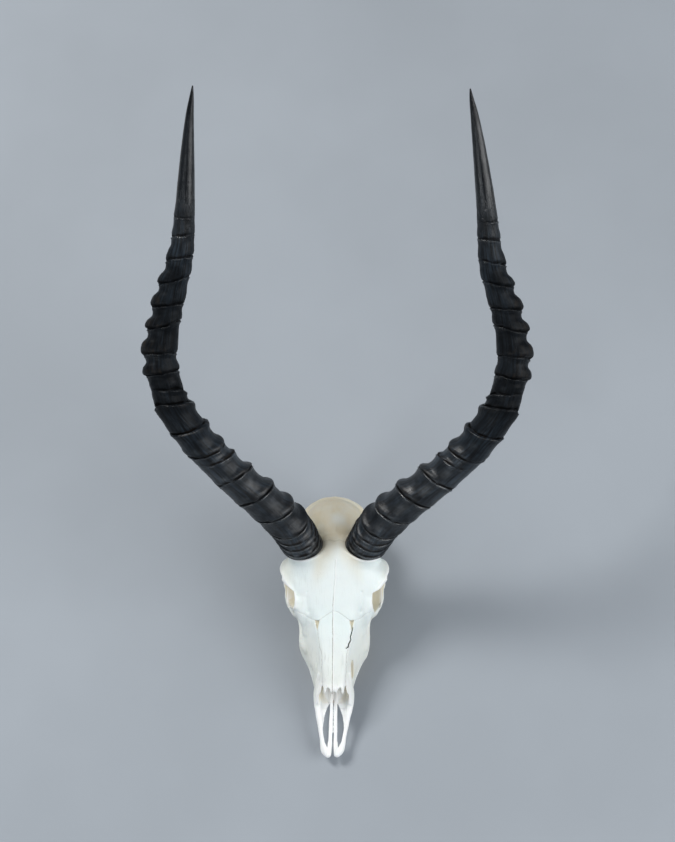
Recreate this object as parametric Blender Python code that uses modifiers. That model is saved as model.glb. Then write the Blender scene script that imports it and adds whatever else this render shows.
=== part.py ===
"""Impala skull with both horns, without its lower jaw, resting on its cheek teeth.

Lengths are in millimetres where a name ends in no unit, and become metres in metres().
x is across (the animal's left is +x), y runs from the nose tip backwards, z is up.
"""

import math

import bmesh
import bpy
import numpy as np
from mathutils import Matrix, Vector

# Placing: these bring the bottom centre of the whole part's box to the origin.
SHIFT_X = -2.9
SHIFT_Y = -244.3

# Viewing frame that the horn paths are read in: f runs up the face, d towards the viewer.
FACE_TILT = math.radians(22.0)
MID_ACROSS = 334.5
READ_CENTRE = 421.0
READ_CENTRE_F = 341.4
VIEW_DISTANCE = 2200.0
SCALE_DEPTH = 40.0

# Skull driving sizes
BRAINCASE_CENTRE = (0.0, 214.0, 61.0)
BRAINCASE_SEMI = (35.5, 40.5, 37.5)
BRAIN_CAVITY_WALL = 6.0
ORBIT_CENTRE = (52.0, 158.0, 66.0)
ORBIT_SEMI = (30.0, 19.5, 17.5)
VOXEL = 1.2
KEPT_FACES = 0.0225
SECTION_POINTS = 36
SKIN_SMOOTHING = 6
HOLLOW_SMOOTHING = 3
FINAL_SMOOTHING = 2
BALL_SEGMENTS = 32
BALL_RINGS = 20
ROD_ROUNDNESS = 4
ROD_STEPS = 6

# Horn driving sizes
HORN_SIDES = 12
PATH_POINTS = 600
SOCKET_RADIUS = 15.5
SOCKET_TOP_RADIUS = 14.5
SOCKET_DEPTH = 22.0
STUB_GAP = 0.6
STUB_FOOT = -22.0
BASE_GAP = 0.6
RIM_CLEARANCE = 3.0
RIDGE_FLOOR = 0.15
RIDGE_SHIFT_FROM = 0.4
LEFT_RIDGE_SHIFT = -0.011
DIRECTION_REACH = 4.0
NEAREST_RINGS = 1.0

# The rings near the base lean outwards by this much at this radius, and less beyond a share of the length
BASE_TILT = 5.0
TILTED_RADIUS = 20.0
TILT_FADES_FROM = 0.36
TILT_FADE = 0.2

# Distance along the horn and widening of the space that its rim needs, above the first ring
CLEARANCE_RINGS = ((14.0, 4.0), (40.0, 10.0))
# Distance along the horn and radius of the swelling that it stands on
PEDICLE_RINGS = ((-36.0, 12.0), (-20.0, 16.5), (-8.0, 19.0), (2.0, 19.8))

# Tooth driving sizes
TOOTH_GAP = 0.5
SOCKET_GAP = 0.5
TOOTH_TOP = 25.0
TOOTH_SHOULDER = 16.0
TOOTH_EDGE = 1.0
ROOT_TAPER = 0.86
MOLAR_DENT = 1.2
TOOTH_CORNER = 0.5
TOOTH_SHOULDER_CORNER = 0.6
TROUGH_STEP = 1.5
TROUGH_END_INSET = 1.0
TROUGH_FOOT = -5.0

# Plain colours
BONE_COLOUR = (0.80, 0.79, 0.74)
HORN_COLOUR = (0.035, 0.034, 0.036)
ENAMEL_COLOUR = (0.72, 0.66, 0.52)

# Face sections: distance back, then half outlines from the top of the midline to its bottom (x, z)
FACE_SECTIONS = (
    (47.0, ((0, 31), (8, 30.5), (15, 29), (18.5, 25.5), (18.5, 21), (13, 18.5), (0, 19))),
    (56.0, ((0, 45), (7, 44.5), (12, 41), (18.3, 32), (19.3, 25), (16, 18), (0, 19.5))),
    (66.0, ((0, 50), (8.5, 49), (13, 44), (18.5, 34), (19.5, 26), (18, 18), (0, 20))),
    (80.0, ((0, 56.5), (10.5, 55.5), (15, 50), (20.5, 40), (22, 28), (22.5, 18), (0, 20.5))),
    (92.0, ((0, 62), (12, 61), (16.5, 55), (23, 44), (27, 31), (27, 17.5), (0, 21))),
    (100.0, ((0, 65.5), (13.5, 64.5), (18.5, 58), (25, 47), (31, 33), (31, 17.5), (0, 21))),
    (109.0, ((0, 69.5), (15, 68.5), (20.5, 62), (28, 50), (34.5, 35), (33, 17.5), (0, 21))),
    (120.0, ((0, 74), (16.5, 73), (24, 66), (30, 54), (33.5, 42), (33.5, 18), (0, 22))),
    (131.0, ((0, 79.5), (18, 78.5), (28, 72), (33, 60), (33.5, 45), (33, 18.5), (0, 24))),
    (142.0, ((0, 85.5), (24, 84.5), (38, 80), (38, 68), (34, 46), (32, 20), (0, 27))),
    (152.0, ((0, 91), (26, 90.5), (42, 87), (42, 72), (34, 45), (28, 26), (0, 29))),
    (165.0, ((0, 98), (28, 98.5), (46, 88), (40, 70), (30, 45), (22, 28), (0, 29))),
    (178.0, ((0, 104), (28, 106), (42, 92), (33, 72), (27, 46), (17, 28), (0, 28))),
    (190.0, ((0, 104), (27, 104), (35, 92), (30, 72), (26, 48), (14, 28), (0, 26))),
    (203.0, ((0, 97), (20, 97), (30, 86), (31, 66), (27, 48), (12, 28), (0, 26))),
)

# Nasal passage sections: distance back, middle height, half width, half height
NASAL_SECTIONS = (
    (34.0, 30.0, 9.0, 7.0),
    (46.0, 31.0, 15.0, 11.0),
    (60.0, 33.0, 15.3, 11.0),
    (75.0, 37.5, 15.5, 13.0),
    (95.0, 43.0, 17.0, 16.0),
    (125.0, 48.0, 18.0, 18.0),
    (138.0, 50.0, 6.0, 6.0),
)

# Rods of bone on the +x side: name, then points (x, y, z, radius); each is mirrored
RODS = (
    ("premaxilla_prong", (
        (5.0, -4.6, 12.3, 2.6), (6.0, -1.0, 12.7, 4.0), (8.0, 6, 13.2, 4.6), (10.6, 16, 14.5, 3.3),
        (12.2, 24, 16, 3.0), (14, 34, 18.5, 3.1), (16.2, 45, 22, 3.3), (17.6, 56, 27, 3.4),
    )),
    ("premaxilla_middle", ((3.4, 2, 12.6, 2.6), (2.7, 16, 14.2, 2.3), (2.4, 36, 17, 2.2), (2.4, 58, 20.5, 2.4))),
    ("orbit_upper_rim", (
        (40, 137, 76, 3), (42, 146, 83.5, 3), (46, 155, 87, 3), (51.5, 163, 87.5, 3.2), (52, 172, 86, 3.5),
        (47, 181, 84, 5), (38, 190, 80, 6),
    )),
    ("orbit_front_rim", (
        (42, 146, 83.5, 3), (39, 138, 74, 3.2), (37, 133.5, 63, 3.5), (37, 134, 53, 3.5), (38.5, 139, 45, 3.8),
    )),
    ("postorbital_bar", ((51.5, 173, 85, 3.6), (52, 177, 70, 3.2), (49.5, 174, 56, 3.4), (48, 168, 48, 4))),
    ("cheek_bone", (
        (26, 118, 38, 5), (29, 131, 42, 4.6), (37.5, 140, 44, 4.4), (45, 151, 44.5, 4), (46.3, 166, 47, 4),
        (46, 182, 50, 3.6), (43, 197, 51, 3.6), (38, 208, 48, 4.5),
    )),
    ("ear_tube", ((27, 221, 43, 7), (39, 228, 48, 4.8))),
    ("nuchal_crest", ((0, 252.5, 71, 3.4), (14, 250.5, 68, 3.4), (26, 245, 59, 3.6), (31, 239, 48, 4))),
    ("cranial_base", ((3, 150, 36, 7), (3, 190, 32, 8), (3, 225, 30, 9), (3, 250, 31, 9))),
)

# Rods and rounded masses that are hollowed out of the middle
HOLLOW_RODS = (
    ("foramen_magnum", ((0, 236, 50, 9), (0, 254, 45, 9), (0, 275, 42, 10))),
    ("choana_way", ((0, 150, 28, 7), (0, 134, 38, 9), (0, 122, 44, 9))),
)
CHOANA_CENTRE = (0, 160, 22)
CHOANA_SEMI = (9.5, 24, 12)

# The small gap beside each nasal bone, on the +x side, and its tilt about x in degrees
FACE_VACUITY_CENTRE = (17.5, 119, 74)
FACE_VACUITY_SEMI = (2.6, 4.2, 7)
FACE_VACUITY_TILT = 24

# The slit in the palate on the +x side, seen from above (x, y), and the heights that it runs between
PALATE_FISSURE = ((4.9, 30.0), (10.6, 30.0), (11.4, 42.0), (9.2, 50.0), (5.4, 52.0))
PALATE_FISSURE_HEIGHTS = (8.0, 27.0)

# Rounded masses on the +x side: name, centre, half sizes, tilt about x in degrees; each is mirrored
MASSES = (
    ("premaxilla_tip", (6.0, 4.2, 12.8), (6.0, 8.0, 3.4), 4),
    ("facial_tuberosity", (28.5, 109, 36), (6.5, 9, 7), 0),
    ("orbit_roof", (38, 168, 88), (15, 15, 5), 12),
    ("occipital_plate", (6, 242, 47), (26, 13.5, 26), -12),
    ("condyle", (12.5, 253, 34), (9.5, 9, 10.5), 0),
    ("ear_capsule", (18, 221, 23), (8.5, 12, 9), 0),
    ("jaw_joint", (36, 208, 47), (10.5, 11, 5.5), 0),
    ("temporal_side", (30, 226, 46), (8, 14, 16), 0),
    ("pterygoid_plate", (12.5, 163, 31), (2.6, 26, 13), 0),
    ("process_root", (25.5, 236.5, 38), (8.5, 9.5, 14), 0),
)

# Horn paths read from the picture, base first: (across, up) in picture steps, depth, plain radius in
# picture steps
HORN_RIGHT_PATH = (
    ((303.5, 547), 21, 20.0),
    ((291, 527.5), 41, 19.8),
    ((275, 511.5), 58, 19.0),
    ((257, 496), 74, 18.4),
    ((238.5, 480.5), 88, 17.8),
    ((221.5, 465), 101, 17.2),
    ((198, 440.5), 118, 17.1),
    ((175.5, 409.7), 138, 16.9),
    ((166.3, 385), 150, 16.2),
    ((161.5, 360), 161, 16.0),
    ((162.5, 340), 169, 15.7),
    ((168.5, 308), 183, 14.6),
    ((173.5, 287), 193, 14.0),
    ((179, 266), 202, 12.8),
    ((182.8, 244), 212, 11.3),
    ((185, 212), 225, 10.0),
    ((186.5, 180), 237, 8.5),
    ((188, 148), 249, 6.6),
    ((190, 116), 261, 4.2),
    ((191.8, 98), 268, 2.4),
    ((193, 85), 273, 0.6),
)
HORN_LEFT_PATH = (
    ((364.5, 547), 21, 20.0),
    ((378, 527.5), 41, 19.8),
    ((395, 511.5), 58, 19.0),
    ((414, 496.5), 74, 18.4),
    ((433.5, 481.5), 88, 17.8),
    ((451.5, 467), 101, 17.2),
    ((476, 443.5), 118, 17.1),
    ((499, 412.5), 138, 16.9),
    ((508.5, 387), 150, 16.2),
    ((513, 362), 161, 16.0),
    ((512, 340), 169, 15.7),
    ((505, 308), 183, 14.6),
    ((498.5, 287), 193, 14.0),
    ((492.5, 266), 202, 12.8),
    ((489.5, 244), 212, 11.3),
    ((487, 212), 225, 10.0),
    ((483.5, 180), 237, 8.5),
    ((479.5, 148), 249, 6.6),
    ((475, 116), 261, 4.2),
    ((472.2, 100), 267, 2.4),
    ((470.5, 88), 271, 0.6),
)

# Ridges: place along the horn as a share of its length, height, half width, turn of the strong side in degrees
# (90 is the inner side, 0 the side towards the viewer, -90 the outer side)
RIDGES = (
    (0.030, 2.2, 5.0, 60),
    (0.060, 2.8, 5.0, 62),
    (0.090, 3.0, 5.0, 64),
    (0.116, 3.4, 5.5, 66),
    (0.156, 3.6, 6.5, 66),
    (0.201, 3.7, 7.0, 64),
    (0.242, 3.7, 7.0, 62),
    (0.284, 3.7, 7.5, 58),
    (0.330, 3.9, 8.0, 45),
    (0.371, 4.0, 8.0, 25),
    (0.439, 4.4, 8.0, -15),
    (0.487, 4.8, 8.0, -50),
    (0.530, 4.8, 8.0, -65),
    (0.578, 4.6, 8.0, -72),
    (0.617, 4.2, 7.5, -75),
    (0.661, 3.6, 7.0, -75),
    (0.706, 2.6, 6.5, -75),
    (0.749, 1.4, 5.5, -75),
)
# Ridge profile: offset from the crest in half widths (towards the tip is positive), share of the height
RIDGE_PROFILE = ((-1.0, 0.0), (-0.38, 0.78), (0.12, 1.0), (0.6, -0.12))
SMOOTH_TIP_STATIONS = (0.79, 0.84, 0.89, 0.93, 0.965, 0.985, 1.0)

# Cheek teeth from front to back: name, length, width, middle from the midline
TEETH = (
    ("upper_premolar_2", 7.0, 6.5, 15.5),
    ("upper_premolar_3", 8.5, 8.0, 17.5),
    ("upper_premolar_4", 9.0, 9.5, 20.2),
    ("upper_molar_1", 12.5, 10.5, 23.0),
    ("upper_molar_2", 14.0, 11.0, 24.6),
    ("upper_molar_3", 15.0, 10.5, 24.2),
)
TOOTH_ROW_FRONT = 76.0

# Paracondylar process: height, distance back, half width, half length
PROCESS_SECTIONS = (
    (0.0, 239.0, 2.3, 3.0),
    (1.2, 239.2, 3.0, 3.9),
    (12.0, 239.6, 3.7, 5.4),
    (24.0, 239.0, 4.4, 6.8),
    (36.0, 237.0, 3.5, 5.0),
)
PROCESS_X = 27.0
PROCESS_SIDES = 8


def metres(points):
    """Millimetre points in the skull's own directions, placed in the part's frame in metres."""
    placed = np.asarray(points, float) + (SHIFT_X, SHIFT_Y, 0.0)
    return placed / 1000.0


def collection(name):
    made = bpy.data.collections.new(name)
    bpy.context.scene.collection.children.link(made)
    return made


def material(name, colour, roughness):
    made = bpy.data.materials.new(name)
    made.use_nodes = True
    shader = made.node_tree.nodes["Principled BSDF"]
    shader.inputs["Base Color"].default_value = (*colour, 1.0)
    shader.inputs["Roughness"].default_value = roughness
    shader.inputs["Metallic"].default_value = 0.0
    made.diffuse_color = (*colour, 1.0)
    return made


def mesh_object(name, points, faces, home):
    mesh = bpy.data.meshes.new(name)
    mesh.from_pydata([tuple(p) for p in metres(points)], [], faces)
    mesh.update()
    made = bpy.data.objects.new(name, mesh)
    home.objects.link(made)
    return made


def closed_loft(rings):
    """Points and faces of a closed body through rings of equal point count, both ends capped."""
    rings = [np.asarray(r, float) for r in rings]
    n = len(rings[0])
    points = np.concatenate(rings)
    faces = [tuple(reversed(range(n)))]
    for i in range(len(rings) - 1):
        for j in range(n):
            k = (j + 1) % n
            faces.append((i * n + j, i * n + k, (i + 1) * n + k, (i + 1) * n + j))
    last = (len(rings) - 1) * n
    faces.append(tuple(last + j for j in range(n)))
    return points, faces


def loft_object(name, rings, home):
    points, faces = closed_loft(rings)
    made = mesh_object(name, points, faces, home)
    face_outwards(made)
    return made


def face_outwards(made):
    """Turns a closed mesh's faces to point out."""
    work = bmesh.new()
    work.from_mesh(made.data)
    bmesh.ops.recalc_face_normals(work, faces=work.faces)
    work.to_mesh(made.data)
    work.free()


def catmull(points, count, closed=False):
    """Points spread evenly by parameter along a smooth curve through the given ones."""
    p = np.asarray(points, float)
    n = len(p)
    t = np.linspace(0, n if closed else n - 1, count, endpoint=not closed)
    i = np.minimum(np.floor(t).astype(int), n - 1 if closed else n - 2)
    u = (t - i)[:, None]
    if closed:
        a, b, c, d = (p[(i + k) % n] for k in (-1, 0, 1, 2))
    else:
        a, b, c, d = (p[np.clip(i + k, 0, n - 1)] for k in (-1, 0, 1, 2))
    return 0.5 * (2 * b + (c - a) * u + (2 * a - 5 * b + 4 * c - d) * u**2 + (3 * b - a - 3 * c + d) * u**3)


def face_section(back, half):
    """A whole closed outline at one distance back, from its half outline."""
    half = list(half)
    other = [(-x, z) for x, z in reversed(half[1:-1])]
    ring = catmull(half + other, SECTION_POINTS, closed=True)
    return np.column_stack([ring[:, 0], np.full(len(ring), back), ring[:, 1]])


def sphere_object(name, centre, semi, tilt, home):
    """A rounded mass, turned about x by a tilt in degrees."""
    mesh = bpy.data.meshes.new(name)
    work = bmesh.new()
    size = Matrix.Diagonal(Vector((*[s / 1000.0 for s in semi], 1.0)))
    turn = Matrix.Rotation(math.radians(tilt), 4, "X")
    place = Matrix.Translation(Vector(metres([centre])[0]))
    bmesh.ops.create_uvsphere(
        work, u_segments=BALL_SEGMENTS, v_segments=BALL_RINGS, radius=1.0, matrix=place @ turn @ size
    )
    work.to_mesh(mesh)
    work.free()
    made = bpy.data.objects.new(name, mesh)
    home.objects.link(made)
    return made


def rod_object(name, points, home):
    """A tapering round rod through points that carry their own radius, as a curve turned into a mesh."""
    curve = bpy.data.curves.new(name, "CURVE")
    curve.dimensions = "3D"
    # A bevel of one millimetre lets each knot's radius be given in millimetres
    curve.bevel_depth = 0.001
    curve.bevel_resolution = ROD_ROUNDNESS
    curve.use_fill_caps = True
    curve.resolution_u = ROD_STEPS
    line = curve.splines.new("NURBS")
    line.points.add(len(points) - 1)
    line.order_u = 3
    line.use_endpoint_u = True
    places = metres([p[:3] for p in points])
    for knot, place, point in zip(line.points, places, points):
        knot.co = (*place, 1.0)
        knot.radius = point[3]
    made = bpy.data.objects.new(name, curve)
    home.objects.link(made)
    return made


def mirrored(point):
    return (-point[0], *point[1:])


def joined(name, parts, home):
    """One mesh object out of several meshes and curves, which are then removed."""
    graph = bpy.context.evaluated_depsgraph_get()
    points, faces, start = [], [], 0
    for part in parts:
        evaluated = part.evaluated_get(graph)
        mesh = evaluated.to_mesh()
        points += [tuple(part.matrix_world @ v.co) for v in mesh.vertices]
        faces += [tuple(start + i for i in f.vertices) for f in mesh.polygons]
        start += len(mesh.vertices)
        evaluated.to_mesh_clear()
    mesh = bpy.data.meshes.new(name)
    mesh.from_pydata(points, [], faces)
    mesh.update()
    for part in parts:
        bpy.data.objects.remove(part)
    made = bpy.data.objects.new(name, mesh)
    home.objects.link(made)
    return made


def remeshed(made, voxel, smoothing):
    skin = made.modifiers.new("Skin", "REMESH")
    skin.mode = "VOXEL"
    skin.voxel_size = voxel / 1000.0
    even = made.modifiers.new("Even", "SMOOTH")
    even.factor = 0.5
    even.iterations = smoothing


def cut(made, cutter, name, operation="DIFFERENCE"):
    boolean = made.modifiers.new(name, "BOOLEAN")
    boolean.operation = operation
    boolean.solver = "EXACT"
    boolean.object = cutter
    cutter.hide_render = True
    cutter.display_type = "WIRE"


def picture_point(across, up, depth):
    """A picture place at a depth, in the skull's own directions."""
    shrink = 1.0 - (depth - SCALE_DEPTH) / VIEW_DISTANCE
    x = (across - MID_ACROSS) * shrink
    f = READ_CENTRE_F + (READ_CENTRE - up) * shrink
    y = f * math.cos(FACE_TILT) - depth * math.sin(FACE_TILT)
    z = f * math.sin(FACE_TILT) + depth * math.cos(FACE_TILT)
    return (x, y, z)


class HornPath:
    """The middle line of a horn, with plain radii and frames along it."""

    def __init__(self, readings, inner_sign, ridge_shift):
        self.ridge_shift = ridge_shift
        knots = np.array([(*picture_point(*at, depth), r * (1 - (depth - SCALE_DEPTH) / VIEW_DISTANCE))
                          for at, depth, r in readings])
        fine = catmull(knots, PATH_POINTS)
        steps = np.linalg.norm(np.diff(fine[:, :3], axis=0), axis=1)
        self.along = np.concatenate([[0.0], np.cumsum(steps)])
        self.length = self.along[-1]
        self.line = fine[:, :3]
        self.radii = fine[:, 3]
        self.inner = np.array([inner_sign, 0.0, 0.0])

    def place(self, distance):
        return np.array([np.interp(distance, self.along, self.line[:, k]) for k in range(3)])

    def at(self, distance):
        """Place, direction, front side, inner side and plain radius at a distance along."""
        place = self.place(distance)
        middle = min(max(distance, DIRECTION_REACH), self.length - DIRECTION_REACH)
        ahead = self.place(middle + DIRECTION_REACH)
        behind = self.place(middle - DIRECTION_REACH)
        direction = (ahead - behind) / np.linalg.norm(ahead - behind)
        viewer = np.array([0.0, -math.sin(FACE_TILT), math.cos(FACE_TILT)])
        front = viewer - direction * (viewer @ direction)
        front /= np.linalg.norm(front)
        side = np.cross(front, direction)
        side *= np.sign(side @ self.inner)
        if distance < 0:
            place = place + direction * distance
        return place, direction, front, side, float(np.interp(distance, self.along, self.radii))

    def ring(self, distance, radius=None, ridge=None, share=0.0):
        """A ring of points; a ridge is (height, turn) and share says how much of it stands here."""
        place, direction, front, side, plain = self.at(distance)
        turns = np.arange(HORN_SIDES) * 2 * math.pi / HORN_SIDES
        r = np.full(HORN_SIDES, plain if radius is None else radius)
        if ridge:
            height, strong = ridge
            facing = 0.5 + 0.5 * np.cos(turns - math.radians(strong))
            r = r + height * share * (RIDGE_FLOOR + (1 - RIDGE_FLOOR) * facing)
        faded = (distance / self.length - TILT_FADES_FROM) / TILT_FADE
        lean = BASE_TILT * min(1.0, max(0.0, 1.0 - faded)) * plain / TILTED_RADIUS
        radial = np.outer(np.cos(turns), front) + np.outer(np.sin(turns), side)
        shift = np.outer(-np.sin(turns) * lean * (r / max(plain, 0.1)), direction)
        return place + radial * r[:, None] + shift


def horn(name, path, home):
    """The sheath: up the inside of its short socket, over the rim and along the ridged outside to the tip."""
    rings = [
        path.ring(SOCKET_DEPTH, SOCKET_TOP_RADIUS),
        path.ring(SOCKET_DEPTH / 2, (SOCKET_RADIUS + SOCKET_TOP_RADIUS) / 2),
        path.ring(0.0, SOCKET_RADIUS),
        path.ring(0.0),
    ]
    reached = 0.0
    for share, height, half, strong in RIDGES:
        middle = (share + (path.ridge_shift if share > RIDGE_SHIFT_FROM else 0.0)) * path.length
        for offset, part in RIDGE_PROFILE:
            distance = middle + offset * half
            if distance > reached + NEAREST_RINGS:
                rings.append(path.ring(distance, ridge=(height, strong), share=part))
                reached = distance
    rings += [path.ring(share * path.length) for share in SMOOTH_TIP_STATIONS]
    return loft_object(name, rings, home)


def horn_stub(name, path, home):
    """The bony stub that stands in a horn's socket."""
    rings = [
        path.ring(STUB_FOOT, SOCKET_RADIUS - STUB_GAP),
        path.ring(0.0, SOCKET_RADIUS - STUB_GAP),
        path.ring(SOCKET_DEPTH / 2, (SOCKET_RADIUS + SOCKET_TOP_RADIUS) / 2 - STUB_GAP),
        path.ring(SOCKET_DEPTH - STUB_GAP, SOCKET_TOP_RADIUS - STUB_GAP),
    ]
    return loft_object(name, rings, home)


def horn_clearance(name, path, home):
    """What is cut from the frontal bone so that a horn's rim stands clear of it."""
    *_, plain = path.at(0.0)
    wide = plain + RIM_CLEARANCE
    rings = [path.ring(-BASE_GAP, wide)]
    rings += [path.ring(distance, wide + wider) for distance, wider in CLEARANCE_RINGS]
    return loft_object(name, rings, home)


def pedicle_mass(name, path, home):
    """The swelling of the frontal bone below a horn, cut flat by the clearance."""
    return loft_object(name, [path.ring(distance, radius) for distance, radius in PEDICLE_RINGS], home)


def nasal_passage(home):
    turns = np.linspace(0, 2 * math.pi, SECTION_POINTS, endpoint=False)
    rings = [
        np.column_stack([wide * np.cos(turns), np.full(len(turns), back), middle + tall * np.sin(turns)])
        for back, middle, wide, tall in NASAL_SECTIONS
    ]
    return loft_object("nasal_passage", rings, home)


def palate_fissure(side, home):
    outline = np.array(PALATE_FISSURE)
    rings = [
        np.column_stack([side * outline[:, 0], outline[:, 1], np.full(len(outline), height)])
        for height in PALATE_FISSURE_HEIGHTS
    ]
    return loft_object("palate_fissure", rings, home)


def skull_hollows(home):
    """The orbits, nasal passage, braincase, choana and small openings, one cutter."""
    wall = BRAIN_CAVITY_WALL
    parts = [nasal_passage(home)]
    parts.append(
        sphere_object("brain", BRAINCASE_CENTRE, tuple(s - wall for s in BRAINCASE_SEMI), 0, home)
    )
    parts.append(sphere_object("choana", CHOANA_CENTRE, CHOANA_SEMI, 0, home))
    for name, points in HOLLOW_RODS:
        parts.append(rod_object(name, points, home))
    for side in (1, -1):
        x, y, z = ORBIT_CENTRE
        parts.append(sphere_object("orbit", (side * x, y, z), ORBIT_SEMI, 0, home))
        x, y, z = FACE_VACUITY_CENTRE
        parts.append(
            sphere_object("vacuity", (side * x, y, z), FACE_VACUITY_SEMI, FACE_VACUITY_TILT, home)
        )
        parts.append(palate_fissure(side, home))
    hollow = joined("skull_hollows", parts, home)
    remeshed(hollow, VOXEL, HOLLOW_SMOOTHING)
    return hollow


def skull_forms(paths, home):
    """Everything that the skull is grown out of, as one mesh before its skin is made."""
    parts = [loft_object("face", [face_section(back, half) for back, half in FACE_SECTIONS], home)]
    parts.append(sphere_object("braincase", BRAINCASE_CENTRE, BRAINCASE_SEMI, 0, home))
    for name, points in RODS:
        parts.append(rod_object(name, points, home))
        parts.append(rod_object(name, [mirrored(p) for p in points], home))
    for name, centre, semi, tilt in MASSES:
        parts.append(sphere_object(name, centre, semi, tilt, home))
        parts.append(sphere_object(name, mirrored(centre), semi, tilt, home))
    for path in paths:
        parts.append(pedicle_mass("pedicle", path, home))
    return joined("skull", parts, home)


def process_foot(side, home):
    """One paracondylar process, clean below so that the skull stands on its tip."""
    turns = np.linspace(0, 2 * math.pi, PROCESS_SIDES, endpoint=False)
    rings = [
        np.column_stack([side * PROCESS_X + wide * np.cos(turns), back + long * np.sin(turns),
                         np.full(PROCESS_SIDES, height)])
        for height, back, wide, long in PROCESS_SECTIONS
    ]
    return loft_object("process", rings, home)


def tooth_rings(tooth, side):
    """Sections of one tooth from its flat worn face up to its root in the socket."""
    name, length, width, middle, front = tooth
    half_l = length / 2 - TOOTH_GAP / 2
    half_w = width / 2
    dent = MOLAR_DENT if name.startswith("upper_molar") else 0.0
    near_w = half_w * TOOTH_CORNER
    near_l = half_l * TOOTH_SHOULDER_CORNER
    outline = np.array([
        (-near_w, -half_l), (-half_w, -near_l), (-half_w + dent, 0), (-half_w, near_l), (-near_w, half_l),
        (near_w, half_l), (half_w, near_l), (half_w - dent, 0), (half_w, -near_l), (near_w, -half_l),
    ])
    centre = np.array([middle, front + length / 2])
    sizes = ((0.0, 1 - TOOTH_EDGE / half_w), (TOOTH_EDGE, 1.0), (TOOTH_SHOULDER, 1.0), (TOOTH_TOP, ROOT_TAPER))
    rings = []
    for height, size in sizes:
        flat = centre + outline * size
        rings.append(np.column_stack([side * flat[:, 0], flat[:, 1], np.full(len(flat), height)]))
    return rings


def tooth_trough(row, side, home):
    """The row of sockets of one side, run together, as a cutter that reaches below the bone."""
    outer, inner = [], []
    for name, length, width, middle, front in row:
        reach = width / 2 + SOCKET_GAP
        for back in (front + TROUGH_STEP, front + length - TROUGH_STEP):
            outer.append((middle + reach, back))
            inner.append((middle - reach, back))
    first, last = row[0], row[-1]
    start, end = first[4] - SOCKET_GAP, last[4] + last[1] + SOCKET_GAP
    inset = TROUGH_END_INSET
    outer = [(outer[0][0] - inset, start)] + outer + [(outer[-1][0] - inset, end)]
    inner = [(inner[0][0] + inset, start)] + inner + [(inner[-1][0] + inset, end)]
    outline = np.array(outer + inner[::-1], float)
    rings = [
        np.column_stack([side * outline[:, 0], outline[:, 1], np.full(len(outline), height)])
        for height in (TROUGH_FOOT, TOOTH_TOP + SOCKET_GAP)
    ]
    return loft_object("trough", rings, home)


def tooth_row():
    """Each tooth with the distance back of its front face."""
    placed, front = [], TOOTH_ROW_FRONT
    for name, length, width, middle in TEETH:
        placed.append((name, length, width, middle, front))
        front += length
    return placed


def build():
    for old in list(bpy.data.objects):
        bpy.data.objects.remove(old)
    home = collection("impala_skull")
    cutters = collection("cutters")
    bone = material("bone", BONE_COLOUR, 0.6)
    sheath = material("horn_sheath", HORN_COLOUR, 0.35)
    enamel = material("tooth_enamel", ENAMEL_COLOUR, 0.35)

    right = HornPath(HORN_RIGHT_PATH, 1.0, 0.0)
    left = HornPath(HORN_LEFT_PATH, -1.0, LEFT_RIDGE_SHIFT)

    skull = skull_forms((right, left), home)
    remeshed(skull, VOXEL, SKIN_SMOOTHING)
    cut(skull, skull_hollows(cutters), "Hollows")
    clearance = joined(
        "horn_clearance",
        [horn_clearance("clearance", p, cutters) for p in (right, left)],
        cutters,
    )
    cut(skull, clearance, "Horn clearance")
    remeshed(skull, VOXEL, FINAL_SMOOTHING)
    few = skull.modifiers.new("Few faces", "DECIMATE")
    few.ratio = KEPT_FACES
    stubs = joined(
        "clean_bone",
        [horn_stub("stub", p, cutters) for p in (right, left)] + [process_foot(s, cutters) for s in (1, -1)],
        cutters,
    )
    cut(skull, stubs, "Stubs and feet", "UNION")
    row = tooth_row()
    sockets = joined("tooth_sockets", [tooth_trough(row, s, cutters) for s in (1, -1)], cutters)
    cut(skull, sockets, "Tooth sockets")
    skull.data.materials.append(bone)

    for name, path in (("horn_right", right), ("horn_left", left)):
        horn(name, path, home).data.materials.append(sheath)
    for tooth in row:
        for side, word in ((-1, "right"), (1, "left")):
            made = loft_object(f"{tooth[0]}_{word}", tooth_rings(tooth, side), home)
            made.data.materials.append(enamel)


build()
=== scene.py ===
"""Bleached impala skull with its two ringed horn sheaths and its upper cheek teeth.

Lengths in the tables are millimetres in the skull's own directions: x across (the animal's left is +x),
y from the nose tip backwards, z up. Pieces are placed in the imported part's frame, in metres, by metres().
"""

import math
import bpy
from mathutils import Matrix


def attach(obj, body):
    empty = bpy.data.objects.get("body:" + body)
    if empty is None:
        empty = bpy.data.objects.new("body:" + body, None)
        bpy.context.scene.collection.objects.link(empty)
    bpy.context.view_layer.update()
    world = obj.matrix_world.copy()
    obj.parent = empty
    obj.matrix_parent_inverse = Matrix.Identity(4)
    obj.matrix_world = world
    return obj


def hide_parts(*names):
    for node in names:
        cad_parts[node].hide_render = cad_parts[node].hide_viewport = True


bl_info = {
    "name": "Impala skull",
    "version": (1, 0, 0),
    "blender": (4, 5, 0),
    "location": "3D View > Sidebar > Skull",
    "description": "Bleached impala skull with ringed horn sheaths and upper cheek teeth",
    "category": "Add Mesh",
}

import bmesh
import bpy
import numpy as np
from mathutils import Vector

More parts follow.
